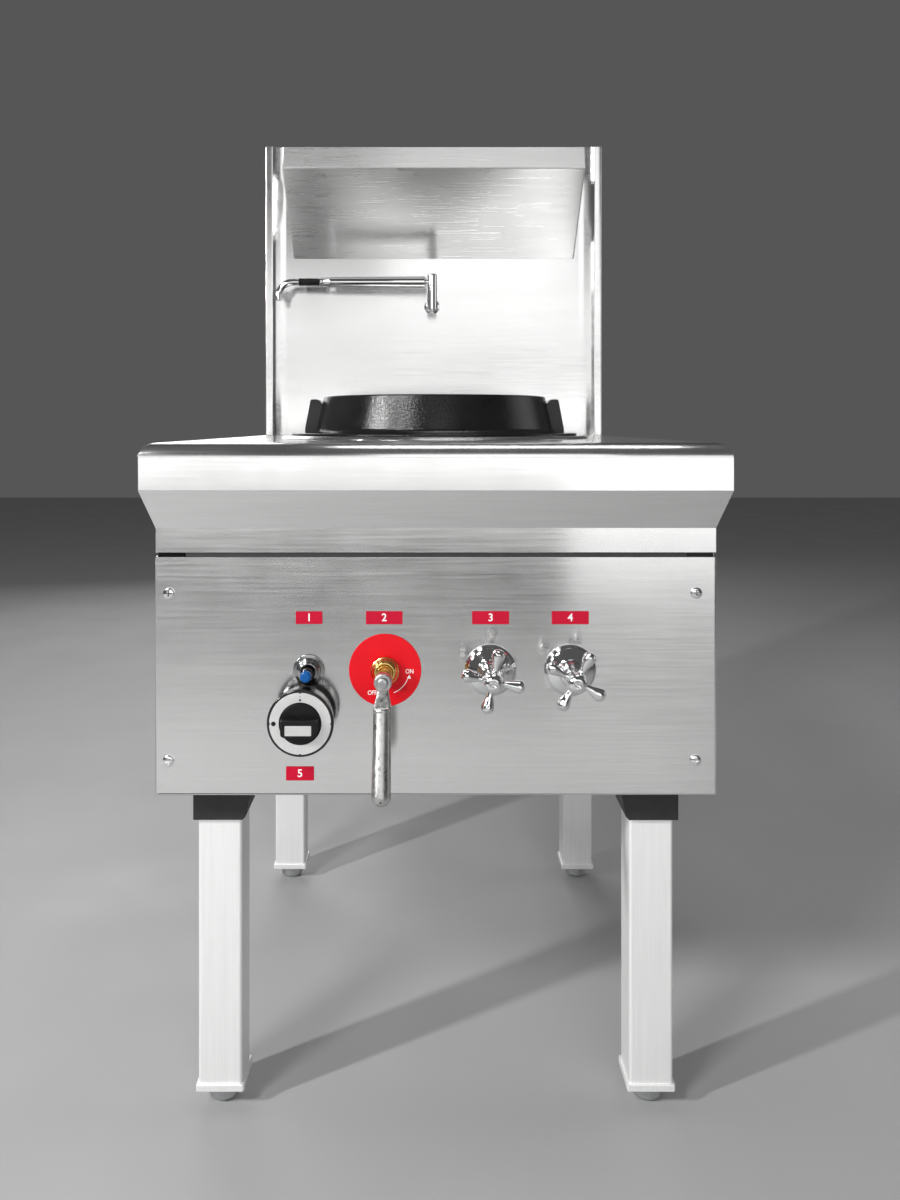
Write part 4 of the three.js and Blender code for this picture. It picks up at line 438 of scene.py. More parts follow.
def prism(name, outline, axis, start, end):
    """An outline of (x, z) points extruded along Y, or of (x, y) points along Z."""
    points = []
    for depth in (start, end):
        points += [(p[0], depth, p[1]) if axis == "Y" else (p[0], p[1], depth) for p in outline]
    count = len(outline)
    rings = [list(range(count)), list(range(count, 2 * count))]
    return mesh_of(name, points, [rings[0], rings[1][::-1], *bands(rings)])


def panel_block(name, outline, spot, back, front):
    """An outline of (x, z) points about a spot, from one height above the panel to another."""
    placed = [(spot.x + x * MM, spot.z + z * MM) for x, z in outline]
    return prism(name, placed, "Y", spot.y - front * MM, spot.y - back * MM)


def column(name, centre, half, radius, foot, top, steps=5):
    """An upright block with a rounded square section, all in metres."""
    outline = rounded(oblong(half, half), radius, closed=True, steps=steps)
    return prism(name, [(centre.x + x, centre.y + y) for x, y in outline], "Z", foot, top)


def skinned(name, sections):
    """One skin over a row of sections, closed at both ends."""
    count = len(sections[0])
    rings = [list(range(i * count, (i + 1) * count)) for i in range(len(sections))]
    points = [point for section in sections for point in section]
    return mesh_of(name, points, [rings[0][::-1], rings[-1], *bands(rings)])


def sweep(name, path, radii, sides=MEDIUM):
    """A round section carried along a path, with a radius in metres for each of its points."""
    sections = []
    side = (path[1] - path[0]).normalized().orthogonal().normalized()
    for before, point, after, radius in zip([path[0], *path], path, [*path[1:], path[-1]], radii):
        tangent = (after - before).normalized()
        side = (side - tangent * side.dot(tangent)).normalized()
        other = tangent.cross(side)
        ring = [side * cos(angle) + other * sin(angle) for angle in round_turn(sides)]
        sections.append([point + way * radius for way in ring])
    return skinned(name, sections)


def bent(start, corner, end, radius, steps):
    """Two straight runs joined by a round bend, all in metres."""
    back = (start - corner).normalized()
    on = (end - corner).normalized()
    half = back.angle(on) / 2
    setback = radius / tan(half)
    centre = corner + (back + on).normalized() * (radius / sin(half))
    first = corner + back * setback - centre
    axis = first.cross(corner + on * setback - centre)
    turns = [Matrix.Rotation((pi - 2 * half) * k / steps, 3, axis) for k in range(steps + 1)]
    return [start, *(centre + turn @ first for turn in turns), end]


def evaluated(obj):
    """A new mesh of what an object shows."""
    graph = bpy.context.evaluated_depsgraph_get()
    return bpy.data.meshes.new_from_object(obj.evaluated_get(graph))


def applied(obj):
    """The object with its modifiers made part of its mesh."""
    mesh = evaluated(obj)
    obj.modifiers.clear()
    old = obj.data
    obj.data = mesh
    bpy.data.meshes.remove(old)
    return obj


def combine(base, others, operation="UNION", sharp=SHARP):
    for other in others:
        modifier = base.modifiers.new("combine", "BOOLEAN")
        modifier.operation = operation
        modifier.solver = "EXACT"
        modifier.object = other
        applied(base)
        bpy.data.objects.remove(other)
    return shaded(base, sharp)


def bevel(obj, width, segments=3, angle=SHARP):
    modifier = obj.modifiers.new("edges", "BEVEL")
    modifier.width = width * MM
    modifier.segments = segments
    modifier.limit_method = "ANGLE"
    modifier.angle_limit = radians(angle)
    return obj


def moulded(obj, turns):
    """One smooth skin over overlapping shapes, with the soft fillets of a casting."""
    remesh = obj.modifiers.new("skin", "REMESH")
    remesh.mode = "VOXEL"
    remesh.voxel_size = SKIN * MM
    soften = obj.modifiers.new("soften", "SMOOTH")
    soften.factor = 0.5
    soften.iterations = turns
    applied(obj)
    obj["cast"] = True
    return shaded(obj, 180)


def object_from(name, work):
    """The mesh in work as a new object."""
    mesh = bpy.data.meshes.new(name)
    work.to_mesh(mesh)
    work.free()
    return object_of(name, mesh)


def joined(name, parts, sharp=SHARP):
    """Several meshes as the one mesh of a new object."""
    work = bmesh.new()
    for part in parts:
        work.from_mesh(part.data)
        bpy.data.objects.remove(part)
    return shaded(object_from(name, work), sharp)


def sheet_metal(name, work, outward, edge, segments, angle):
    """The faces in work, thickened inward into sheet. outward is a way in which they face."""
    bmesh.ops.recalc_face_normals(work, faces=work.faces)
    widest = max(work.faces, key=lambda f: f.calc_area() * abs(f.normal.dot(outward)))
    if widest.normal.dot(outward) < 0:
        bmesh.ops.reverse_faces(work, faces=work.faces)
    made = object_from(name, work)
    solid = made.modifiers.new("sheet", "SOLIDIFY")
    solid.thickness = SHEET * MM
    solid.offset = -1
    return shaded(applied(bevel(made, edge, segments, angle)))


def folded_copy(name, node, folds=(), edge=EDGE):
    """A CAD node's sheet with its outer folds rounded. folds holds (test of an edge, radius)."""
    mesh = NODES[node].data.copy()
    mesh.name = name
    for attribute in ("custom_normal", "sharp_edge", "sharp_face"):
        if attribute in mesh.attributes:
            mesh.attributes.remove(mesh.attributes[attribute])
    work = bmesh.new()
    work.from_mesh(mesh)
    bmesh.ops.remove_doubles(work, verts=work.verts, dist=1e-6)
    bmesh.ops.dissolve_limit(work, angle_limit=radians(0.5), verts=work.verts, edges=work.edges)
    for test, radius in folds:
        chosen = [e for e in work.edges if len(e.link_faces) == 2 and test(*(v.co for v in e.verts))]
        if chosen:
            bmesh.ops.bevel(
                work, geom=chosen, offset=radius * MM, segments=5, affect="EDGES", profile=0.5,
                offset_type="OFFSET",
            )
    bmesh.ops.recalc_face_normals(work, faces=work.faces)
    work.to_mesh(mesh)
    work.free()
    mesh.materials.clear()
    made = shaded(object_of(name, mesh))
    return bevel(made, edge, 2) if edge else made


def dressed(obj, finish, *nodes, body=FIXED):
    """Gives a piece its finish, its body and the CAD nodes that it stands for."""
    if not obj.get("cast"):  # wide faces stay flat, and their rounds carry the turn of the shading
        modifier = obj.modifiers.new("flat", "WEIGHTED_NORMAL")
        modifier.mode = "FACE_AREA"
        modifier.weight = 50
        modifier.keep_sharp = True
    obj.data.materials.clear()
    obj.data.materials.append(FINISHES[finish])
    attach(obj, body)
    if nodes:
        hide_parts(*nodes)


# ---------- worktop

OVERHANG = 15
NOSE_RADIUS = 17
NOSE_HEIGHT = 52
SLOPE_HEIGHT = 42
LANDING = 20  # flat strip behind the nose's round
HOLE_PLAY = 0.8
RING_BORE = 178
SEAT_RADIUS = 221
SEAT_BEAD = 4.5
SEAT_BEAD_WIDTH = 12
SEAT_SPIGOT = 8


def make_deck():
    lowest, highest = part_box("deck")
    side = highest.x - OVERHANG * MM
    front = lowest.y + OVERHANG * MM
    nose_foot = highest.z - NOSE_HEIGHT * MM
    profile = rounded(
        [
            (0, lowest.z),
            (0, nose_foot - SLOPE_HEIGHT * MM, FOLD * MM),
            (OVERHANG * MM, nose_foot, FOLD * MM),
            (OVERHANG * MM, highest.z, NOSE_RADIUS * MM),
            (-LANDING * MM, highest.z),
        ],
        steps=10,
    )
    work = bmesh.new()
    loops = []
    for out, height in profile:
        x, y = side + out, front - out
        corners = [(-x, highest.y), (-x, y), (x, y), (x, highest.y)]
        loops.append([work.verts.new((*corner, height)) for corner in corners])
    for lower, upper in zip(loops, loops[1:]):
        for k in range(3):
            work.faces.new([lower[k], lower[k + 1], upper[k + 1], upper[k]])
    centre = (RING_CENTRE.x, RING_CENTRE.y, highest.z)
    opening = (RING_BORE + HOLE_PLAY) * MM
    rim = [work.verts.new(on_axis(centre, "up", opening, angle, 0)) for angle in round_turn(FINE)]
    edges = [work.edges.new((rim[k], rim[(k + 1) % FINE])) for k in range(FINE)]
    last = loops[-1]
    edges += [work.edges.get((last[k], last[k + 1])) for k in range(3)]
    edges.append(work.edges.new((last[3], last[0])))
    bmesh.ops.triangle_fill(work, edges=edges, use_beauty=True)
    dressed(sheet_metal("worktop", work, Vector((0, 0, 1)), 0.8, 3, 40), "brushed_stainless", "deck")


def make_ring_seat():
    inside = RING_BORE - SHEET
    profile = [
        (inside, -SEAT_SPIGOT), (RING_BORE, -SEAT_SPIGOT), (RING_BORE, 0, 1.0), (SEAT_RADIUS, 0, 0.3),
        (SEAT_RADIUS - SEAT_BEAD_WIDTH / 2, SEAT_BEAD, 2.5), (SEAT_RADIUS - SEAT_BEAD_WIDTH, SHEET, 2.5),
        (inside, SHEET, 1.0),
    ]
    centre = (RING_CENTRE.x, RING_CENTRE.y, DECK_TOP + GAP * MM)
    seat = lathe("ring_collar", profile, centre, "up", 2 * FINE)
    dressed(seat, "brushed_stainless", "ring_seat")


# ---------- body panels

SCREW_RADIUS = 6.2
SCREW_HEIGHT = 3.2
SCREW_SPOTS = (
    ("upper_left", -294.8, 596), ("upper_right", 287.6, 596.5),
    ("lower_left", -295.4, 411), ("lower_right", 286.6, 411.5),
)


def at_value(axis, value):
    """A test for edges whose ends both lie at one value of an axis."""
    reach = 0.05 * MM
    return lambda a, b: abs(a[axis] - value) < reach and abs(b[axis] - value) < reach


def both(*tests):
    return lambda a, b: all(test(a, b) for test in tests)


def outer_folds(node, radius, *pairs):
    """Folds at a node's outer corners. Each pair names two faces, such as -x-y."""
    lowest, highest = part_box(node)
    folds = []
    for pair in pairs:
        tests = []
        for sign, letter in (pair[:2], pair[2:]):
            axis = "xyz".index(letter)
            tests.append(at_value(axis, (lowest if sign == "-" else highest)[axis]))
        folds.append((both(*tests), radius))
    return folds


def make_panels():
    folds = outer_folds("front_panel", FOLD, "-x-y", "+x-y", "-y-z")
    folds += outer_folds("front_panel", 1.2, "-y+z")
    dressed(folded_copy("control_panel", "front_panel", folds, 0.3), "brushed_stainless", "front_panel")
    for side, out in (("left", "-x"), ("right", "+x")):
        node = f"{side}_side_panel"
        folds = outer_folds(node, FOLD, out + "-z", out + "-y", out + "+y")
        dressed(folded_copy(f"{side}_side_sheet", node, folds), "brushed_shaded_flange", node)
    dressed(folded_copy("back_sheet", "back_panel"), "brushed_stainless", "back_panel")
    folds = outer_folds("base_pan", FOLD, "-x-z", "+x-z")
    dressed(folded_copy("bottom_pan", "base_pan", folds), "dull_steel", "base_pan")
    folds = outer_folds("rear_casing", FOLD, "-x+y", "+x+y", "+y+z", "+y-z", "-x+z", "+x+z")
    dressed(folded_copy("flue_casing", "rear_casing", folds), "brushed_stainless", "rear_casing")


def screw_head(name, centre, start, radius, height):
    """A domed head with a cross recess, on an axis that leaves the panel."""
    crown = height * 0.55
    profile = [(0, start), (radius, start)]
    steps = 8
    for k in range(steps):
        angle = pi / 2 * k / steps
        profile.append((radius * cos(angle), start + height - crown + crown * sin(angle)))
    head = lathe(name, [*profile, (0, start + height)], centre, sides=SMALL)
    wide = radius * 0.62
    slim = radius * 0.15
    front = start + height
    cutters = []
    for outline in (oblong(wide, slim), oblong(slim, wide)):
        cutters.append(panel_block("slot", outline, centre, front - height * 0.55, front + 1))
    combine(head, cutters, "DIFFERENCE")
    return bevel(head, radius * 0.03, 2, 30)


def make_panel_screws():
    for place, x, z in SCREW_SPOTS:
        spot = shifted(PANEL, x, 0, z)
        dressed(screw_head(f"panel_screw_{place}", spot, 0.05, SCREW_RADIUS, SCREW_HEIGHT), "chrome")


# ---------- splashback and tank

SPLASH_EDGE = 12
SPLASH_COVE = 30
SPLASH_COVE_DEPTH = 6.5
TANK_FASCIA = 35
SLOPE_RUN = 50  # an edge that rises and runs back by more than this is on the tank's slope


def make_splash():
    lowest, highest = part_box("splash_panel")
    face = highest.y - SHEET * MM
    depth = SPLASH_COVE_DEPTH * MM
    inside = highest.x - SPLASH_EDGE * MM
    line = []
    steps = 14
    for k in range(steps + 1):
        across = k / steps
        line.append((inside - SPLASH_COVE * MM * (1 - across), face - depth * across * across))
    corners = [line[-1], (highest.x, face - depth, FOLD * MM), (highest.x, highest.y)]
    line += rounded(corners, steps=6)[1:]
    outer = [*line, *((-x, y) for x, y in reversed(line))]
    work = bmesh.new()
    foot = [work.verts.new((x, y, lowest.z)) for x, y in outer]
    head = [work.verts.new((x, y, highest.z)) for x, y in outer]
    for k in range(len(outer)):
        n = (k + 1) % len(outer)
        if k != len(line) - 1:  # open at the back, between the two side returns
            work.faces.new([foot[k], foot[n], head[n], head[k]])
    splash = sheet_metal("splashback", work, Vector((0, -1, 0)), EDGE, 2, 50)
    dressed(splash, "brushed_stainless", "splash_panel")


def make_tank():
    lowest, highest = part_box("water_tank")

    def on_slope(a, b):
        return min(abs(a.z - b.z), abs(a.y - b.y)) > SLOPE_RUN * MM

    front_fold = both(at_value(1, lowest.y), at_value(2, highest.z - TANK_FASCIA * MM))
    folds = [(front_fold, FOLD), *outer_folds("water_tank", FOLD, "-x-y", "+x-y")]
    folds += [(both(at_value(0, x), on_slope), FOLD) for x in (lowest.x, highest.x)]
    dressed(folded_copy("tank_shell", "water_tank", folds, 0.3), "brushed_tank", "water_tank")


# ---------- legs

LEG_WALL = 1.5
LEG_ROUND = 3.5
LEG_PLATE = 8
LEG_PLATE_STEP = 2.5  # how far the plate stands out from the tube
FOOT_HEIGHT = 20
FOOT_STEM = 8
CORNERS = ("front_left", "front_right", "rear_left", "rear_right")


def make_leg(corner):
    lowest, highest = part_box(f"{corner}_leg")
    centre = (lowest + highest) / 2
    plate_half = (highest.x - lowest.x) / 2
    half = plate_half - LEG_PLATE_STEP * MM
    wall = LEG_WALL * MM
    turn = LEG_ROUND * MM
    plate_top = lowest.z + LEG_PLATE * MM
    tube = column("tube", centre, half, turn, plate_top - MM, highest.z)
    bore = column("bore", centre, half - wall, turn - wall, plate_top, highest.z + MM)
    combine(tube, [bore], "DIFFERENCE")
    plate = column("plate", centre, plate_half, 2.5 * MM, lowest.z, plate_top)
    leg = joined(f"{corner}_tube", [tube, applied(bevel(plate, 0.9))])
    dressed(leg, "brushed_legs", f"{corner}_leg")


def make_foot(corner):
    lowest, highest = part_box(f"{corner}_foot")
    centre = (lowest + highest) / 2
    radius = (highest.x - lowest.x) / 2 / MM
    top = highest.z / MM
    profile = [
        (0, 0), (radius - 5, 0, 2), (radius, 5, 2.5), (radius, FOOT_HEIGHT, 1.4),
        (FOOT_STEM, FOOT_HEIGHT, 0.6), (FOOT_STEM, top, 0.8), (0, top),
    ]
    foot = lathe(f"{corner}_leveller_foot", profile, (centre.x, centre.y, 0), "up")
    dressed(foot, "dull_steel", f"{corner}_foot", body=f"{corner}_leveller")


def make_legs():
    for corner in CORNERS:
        make_leg(corner)
        make_foot(corner)
        socket = folded_copy(f"{corner}_socket_cup", f"{corner}_socket", (), 1.2)
        socket.modifiers["edges"].segments = 4
        dressed(socket, "black_paint", f"{corner}_socket")


# ---------- wok ring

RING_TOP = 160
RING_WALL = 9
RING_WALL_FOOT = 168
RING_FILLET = 176
RING_FLANGE = 205
LUG_WIDTH = 44
LUG_REACH = 18


def make_wok_ring():
    lowest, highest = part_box("wok_ring")
    height = (highest.z - lowest.z) / MM
    base = Vector((RING_CENTRE.x, RING_CENTRE.y, lowest.z))
    bore = RING_TOP - RING_WALL
    profile = [
        (bore + 4, 0, 1.0), (RING_FLANGE, 0, 1.2), (RING_FLANGE, 6, 2.4), (RING_FILLET - 4, 6, 9),
        (RING_TOP, height, 2.6), (bore + 2, height, 2.2), (bore, height - 6, 2), (bore + 4, 12, 6),
    ]
    ring = lathe("cast_ring", profile, base, "up", 2 * FINE, steps=6)
    root = RING_TOP - RING_WALL / 2
    top = height - 3.5
    outline = [
        (root, 3), (RING_WALL_FOOT + LUG_REACH, 3), (RING_WALL_FOOT + LUG_REACH, 12, 5),
        (RING_TOP + LUG_REACH, top, 3), (root + 12, top, 3), (root, top - 12),
    ]
    lugs = []
    for sign in (-1, 1):
        side = [(sign * x, z) for x, z in rounded(outline, closed=True)]
        lug = panel_block("lug", side, base, -LUG_WIDTH / 2, LUG_WIDTH / 2)
        lugs.append(applied(bevel(lug, 1.6, 4, 50)))
    dressed(combine(ring, lugs), "black_cast_iron", "wok_ring", body="loose_ring")


# ---------- fire inside

JET_RINGS = ((0, 1), (36, 6), (70, 12))  # radius of a ring of jets, and how many it has
JET_RADIUS = 6
BURNER_HEIGHT = 46
MIXER_RISE = 31.7  # from the burner's foot to the mixer's axis


def make_burner():
    mouth = low("main_burner").y
    foot = low("combustion_chamber").z + 1.8 * MM
    profile = [(0, 0), (60, 0, 1), (60, 8, 3), (92, 16, 5), (92, BURNER_HEIGHT, 6), (0, BURNER_HEIGHT)]
    body = lathe("burner_head", profile, (RING_CENTRE.x, RING_CENTRE.y, foot), "up", FINE)
    depth = (RING_CENTRE.y - mouth) / MM
    mixer = [(0, 0), (27, 0, 1.5), (27, -12, 1.5), (20, -14, 4), (20, -depth), (0, -depth)]
    spot = (0, mouth, foot + MIXER_RISE * MM)
    pipe = lathe("mixer", mixer, spot)
    bore = rod("bore", 16, 1, BURNER_HEIGHT - depth, spot)
    jet = [(0, -6), (JET_RADIUS, -6), (JET_RADIUS, 24, 1.2), (2.4, 24, 0.5), (1.6, 14), (0, 14)]
    top = (0, RING_CENTRE.y, foot + BURNER_HEIGHT * MM)
    jets = []
    for pitch, count in JET_RINGS:
        for angle in round_turn(count):
            jets.append(lathe("jet", jet, on_axis(top, "up", pitch * MM, angle, 0), "up", 20, steps=3))
    combine(body, [pipe])
    combine(body, [bore], "DIFFERENCE")
    dressed(joined("burner_casting", [body, *jets]), "black_cast_iron", "main_burner")


# ---------- lever

LEVER_BORE = 9.3  # of the plate and the nut
LEVER_PLATE_RADIUS = 40
LEVER_PLATE_FRONT = 1.3
NUT_FRONT = 14.6
EYE_BACK = 45
EYE_FRONT = 57
HANDLE_TOP = (64, 27)  # out of the panel and below the lever's axis
HANDLE_TIP = (92, 105.2)
HANDLE_HOLE = (92, 108)
HANDLE_END = 10.1
HANDLE = ((-2.0, 8.3), (-1.2, 9.5), (0.0, 9.9), (1.4, 9.9), (2.2, 9.3), (30.0, 9.5))  # along it, radius
NECK = (  # out of the panel, below the eye's centre, half the width, half the thickness
    (50.5, 4, 5.6, 4.6), (51.5, 9, 6.2, 4.6), (54.5, 14, 7, 5), (58, 19, 8.2, 6),
    (61.5, 24, 9.4, 7.4), (63, 27.5, 9.6, 8.4),
)


def lettering(name, words, size, centre, depth=0.12, squeeze=1.0):
    """Plain lettering that stands a hair above a face turned to the front."""
    curve = bpy.data.curves.new(name, "FONT")
    curve.body = words
    curve.size = size * MM
    curve.extrude = depth * MM
    curve.align_x = "CENTER"
    curve.align_y = "CENTER"
    curve.resolution_u = 6
    curve.offset = 0.012 * size * MM
    maker = object_of(name, curve)
    mesh = evaluated(maker)
    bpy.data.objects.remove(maker)
    stand = Matrix.Rotation(pi / 2, 4, "X")
    mesh.transform(Matrix.Translation(centre) @ stand @ Matrix.Diagonal((squeeze, 1, 1, 1)))
    mesh.name = name
    dressed(object_of(name, mesh), "white_print")


def arc_band(name, centre, radius, width, start, end, back, front):
    """A thin flat band along an arc on the panel. Its angles are degrees, from +X upward."""
    steps = 24
    angles = [radians(start + (end - start) * k / steps) for k in range(steps + 1)]
    outline = [(radius + width / 2, angle) for angle in angles]
    outline += [(radius - width / 2, angle) for angle in reversed(angles)]
    return panel_block(name, [(r * cos(a), r * sin(a)) for r, a in outline], centre, back, front)


def make_lever_plate():
    rim, front = LEVER_PLATE_RADIUS, LEVER_PLATE_FRONT
    profile = [(LEVER_BORE, GAP), (rim, GAP, 0.2), (rim, front, 0.6), (LEVER_BORE, front, 0.2)]
    plate = lathe("lever_disc", profile, LEVER_AXIS, "out", 2 * FINE, steps=3)
    dressed(plate, "red_enamel", "lever_plate")

    lettering("lever_on", "ON", 6.8, shifted(LEVER_AXIS, 27, front, -1.5), squeeze=0.85)
    lettering("lever_off", "OFF", 6.8, shifted(LEVER_AXIS, -14.2, front, -25), squeeze=0.85)
    back, front = front - 0.02, front + 0.1
    band = arc_band("lever_arc", LEVER_AXIS, 26.6, 0.7, -69, -19, back, front)
    tip = panel_block("tip", [(24, -9), (28.6, -9.4), (26.8, -5)], LEVER_AXIS, back, front)
    dressed(joined("lever_arrow", [band, tip]), "white_print")


def make_lever_nut():
    profile = [
        (LEVER_BORE, 1.6), (15.5, 1.6, 0.4), (15.5, 6.5, 0.5), (14.4, 7.2, 0.4), (14.4, 9.2, 2.2),
        (11, NUT_FRONT, 1.6), (LEVER_BORE, NUT_FRONT, 0.3),
    ]
    nut = lathe("gland_nut", profile, LEVER_AXIS, "out", FINE, steps=4)
    dressed(nut, "brass", "lever_nut")


def make_lever():
    def at(out, down):
        return shifted(LEVER_AXIS, 0, out, -down)

    profile = [(5.3, EYE_BACK), (9.5, EYE_BACK, 1.2), (9.5, EYE_FRONT, 1.6), (5.3, EYE_FRONT, 0.4)]
    eye = lathe("eye", profile, LEVER_AXIS)
    sections = []
    for out, down, width, thickness in NECK:
        corners = oblong(width * MM, thickness * MM)
        section = rounded(corners, min(width, thickness) * MM * 0.45, closed=True, steps=4)
        sections.append([at(out, down) + Vector((x, depth, 0)) for x, depth in section])
    neck = skinned("neck", sections)
    top = at(*HANDLE_TOP)
    tip = at(*HANDLE_TIP)
    way = (tip - top).normalized()
    path = [top + way * reach * MM for reach, _ in HANDLE] + [tip]
    radii = [radius * MM for _, radius in HANDLE] + [HANDLE_END * MM]
    steps = 12
    for k in range(1, steps + 1):
        angle = pi / 2 * k / steps
        path.append(tip + way * HANDLE_END * MM * sin(angle))
        radii.append(max(HANDLE_END * cos(angle), 0.05) * MM)
    lever = joined("lever_handle", [eye, neck, sweep("handle", path, radii)])
    moulded(lever, 3)
    combine(lever, [rod("hole", 0.9, 0, 14, at(*HANDLE_HOLE), 20)], "DIFFERENCE", 50)
    dressed(lever, "cast_metal", "main_lever", body="gas_lever")
    screw = screw_head("lever_cap_screw", LEVER_AXIS, EYE_FRONT + GAP, 5.4, 2.6)
    dressed(screw, "dull_steel", "lever_screw", body="gas_lever")


# ---------- pilot dial and knob

DIAL_BORE = 4.5
DIAL_RADIUS = 35.8
DIAL_BASE = 29.5
DIAL_FRONT = 38
DIAL_FLOOR = 26
DIAL_RING = 33.0
DIAL_RING_THICKNESS = 0.35
DIAL_DOTS = ((180, 28.4, 2.5), (90, 25.3, 1.15), (90, 29.4, 0.5))  # degrees, reach, radius
PRINT = 0.06
RECESS = 22.6
KNOB_BORE = 4.3
KNOB_RADIUS = 21.8
KNOB_BACK = 31.5
KNOB_FACE = 39
KNOB_FRONT = 51
GRIP_HALF_WIDTH = 19.6
GRIP_BOTTOM = -11.4
GRIP_TOP = 7.0
KNOB_PLATE = (-14.6, 13.4, -9.0, 1.6)  # left, right, bottom, top, from the dial's axis


def make_dial():
    profile = [
        (DIAL_BORE, GAP), (DIAL_BASE, GAP, 0.8), (DIAL_BASE, 6, 3), (33.4, 13, 5), (34.4, 30, 3),
        (DIAL_RADIUS, 33.5, 1.5), (DIAL_RADIUS, DIAL_FRONT, 1.6), (RECESS, DIAL_FRONT, 0.6),
        (RECESS, DIAL_FLOOR, 0.8), (DIAL_BORE, DIAL_FLOOR, 0.3),
    ]
    dial = lathe("dial_skirt", profile, DIAL_AXIS, "out", 2 * FINE, steps=6)
    dressed(dial, "black_gloss", "pilot_dial")

    inside, back = RECESS + 0.1, DIAL_FRONT - 0.1
    face = DIAL_FRONT + DIAL_RING_THICKNESS
    profile = [(inside, back), (DIAL_RING, back), (DIAL_RING, face, 0.2), (inside, face, 0.2)]
    dressed(lathe("dial_ring", profile, DIAL_AXIS, "out", 2 * FINE, steps=3), "silver_ring")

    marks = []
    for angle, reach, radius in DIAL_DOTS:
        turn = radians(angle)
        spot = shifted(DIAL_AXIS, reach * cos(turn), 0, reach * sin(turn))
        marks.append(rod("mark", radius, face - PRINT, face + PRINT, spot, SMALL))
    for angle in (0, 90, 180, 270):
        edges = (angle - 2.0, angle + 2.0, face - PRINT, face + PRINT)
        marks.append(arc_band("tick", DIAL_AXIS, DIAL_RING, 1.6, *edges))
    dressed(joined("dial_marks", marks), "black_plastic")


def make_knob():
    profile = [
        (KNOB_BORE, KNOB_BACK), (KNOB_RADIUS, KNOB_BACK, 0.5), (KNOB_RADIUS, KNOB_FACE, 0.9),
        (KNOB_BORE, KNOB_FACE, 0.1),
    ]
    disc = lathe("disc", profile, DIAL_AXIS, "out", FINE)
    corners = [
        (-GRIP_HALF_WIDTH, GRIP_BOTTOM, 4), (GRIP_HALF_WIDTH, GRIP_BOTTOM, 7),
        (GRIP_HALF_WIDTH, GRIP_TOP, 1.5), (-GRIP_HALF_WIDTH, GRIP_TOP, 1.5),
    ]
    outline = rounded(corners, closed=True)
    grip = bevel(panel_block("grip", outline, DIAL_AXIS, KNOB_FACE - 1, KNOB_FRONT), 1.3, 4, 50)
    knob = joined("knob_grip", [disc, applied(grip)])
    dressed(knob, "black_plastic", "pilot_knob", body="pilot_knob_body")

    left, right, bottom, top = KNOB_PLATE
    corners = [(left, bottom), (right, bottom), (right, top), (left, top)]
    outline = rounded(corners, 0.8, closed=True, steps=4)
    plate = panel_block("knob_plate", outline, DIAL_AXIS, KNOB_FRONT - 0.1, KNOB_FRONT + 0.4)
    dressed(bevel(plate, 0.15, 2, 50), "silver_plate", body="pilot_knob_body")


# ---------- igniter

PUSH_RADIUS = 6.2


def make_igniter():
    profile = [
        (0, -62), (10.5, -62, 0.8), (10.5, GAP), (17.5, GAP, 0.3), (17.5, 2, 0.9), (13.4, 2.4, 0.4),
        (13.2, 5.2, 1.8), (10.6, 6.4, 0.8), (10.4, 9.4, 1.4), (8.2, 10.4, 0.8), (7.2, 9, 0.5),
        (7, -26), (0, -26),
    ]
    bezel = lathe("igniter_bezel", profile, IGNITER_AXIS, "out", FINE, steps=4)
    dressed(bezel, "satin_chrome", "igniter_body")
    profile = [(0, -16), (PUSH_RADIUS, -16, 0.5), (PUSH_RADIUS, 26.5, 0.6), (0, 26.5)]
    push = lathe("igniter_push", profile, IGNITER_AXIS, steps=4)
    dressed(push, "black_gloss", "igniter_button", body="igniter_plunger")
    profile = [(0, 26.3), (5.9, 26.3, 0.4), (PUSH_RADIUS, 27.6, 0.8), (6, 34, 4.4), (0, 34)]
    cap = lathe("igniter_cap", profile, IGNITER_AXIS, steps=8)
    dressed(cap, "blue_plastic", "igniter_button", body="igniter_plunger")


# ---------- water valves

VALVES = {"tank": -12, "faucet": -30}  # how far each handle is turned at rest, in degrees
STEM_RADIUS = 4.5
ARM_PLANE = 49
ARM_PROFILE = (  # reach from the hub's axis, and radius
    (-1, 4.6), (8, 3.9), (12, 3.3), (16, 3.9), (20, 5), (24, 6.3), (27.5, 7.1),
    (30.5, 6.9), (32.6, 5.2), (33.8, 3.2), (34.3, 0.6),
)


def make_bonnet(kind):
    profile = [
        (5, GAP), (28.5, GAP, 0.3), (28.5, 2.4, 1), (24.5, 7.4, 6), (14.5, 12.6, 5),
        (12.4, 16, 2), (12.4, 22, 1.2), (10.4, 23.2, 1), (10.4, 31, 1.2), (8.6, 33, 0.8),
        (5, 33, 0.3),
    ]
    node = f"{kind}_valve_bonnet"
    bonnet = lathe(f"{kind}_bonnet_cover", profile, axis_of(node), "out", 2 * FINE, steps=6)
    dressed(bonnet, "chrome", node)


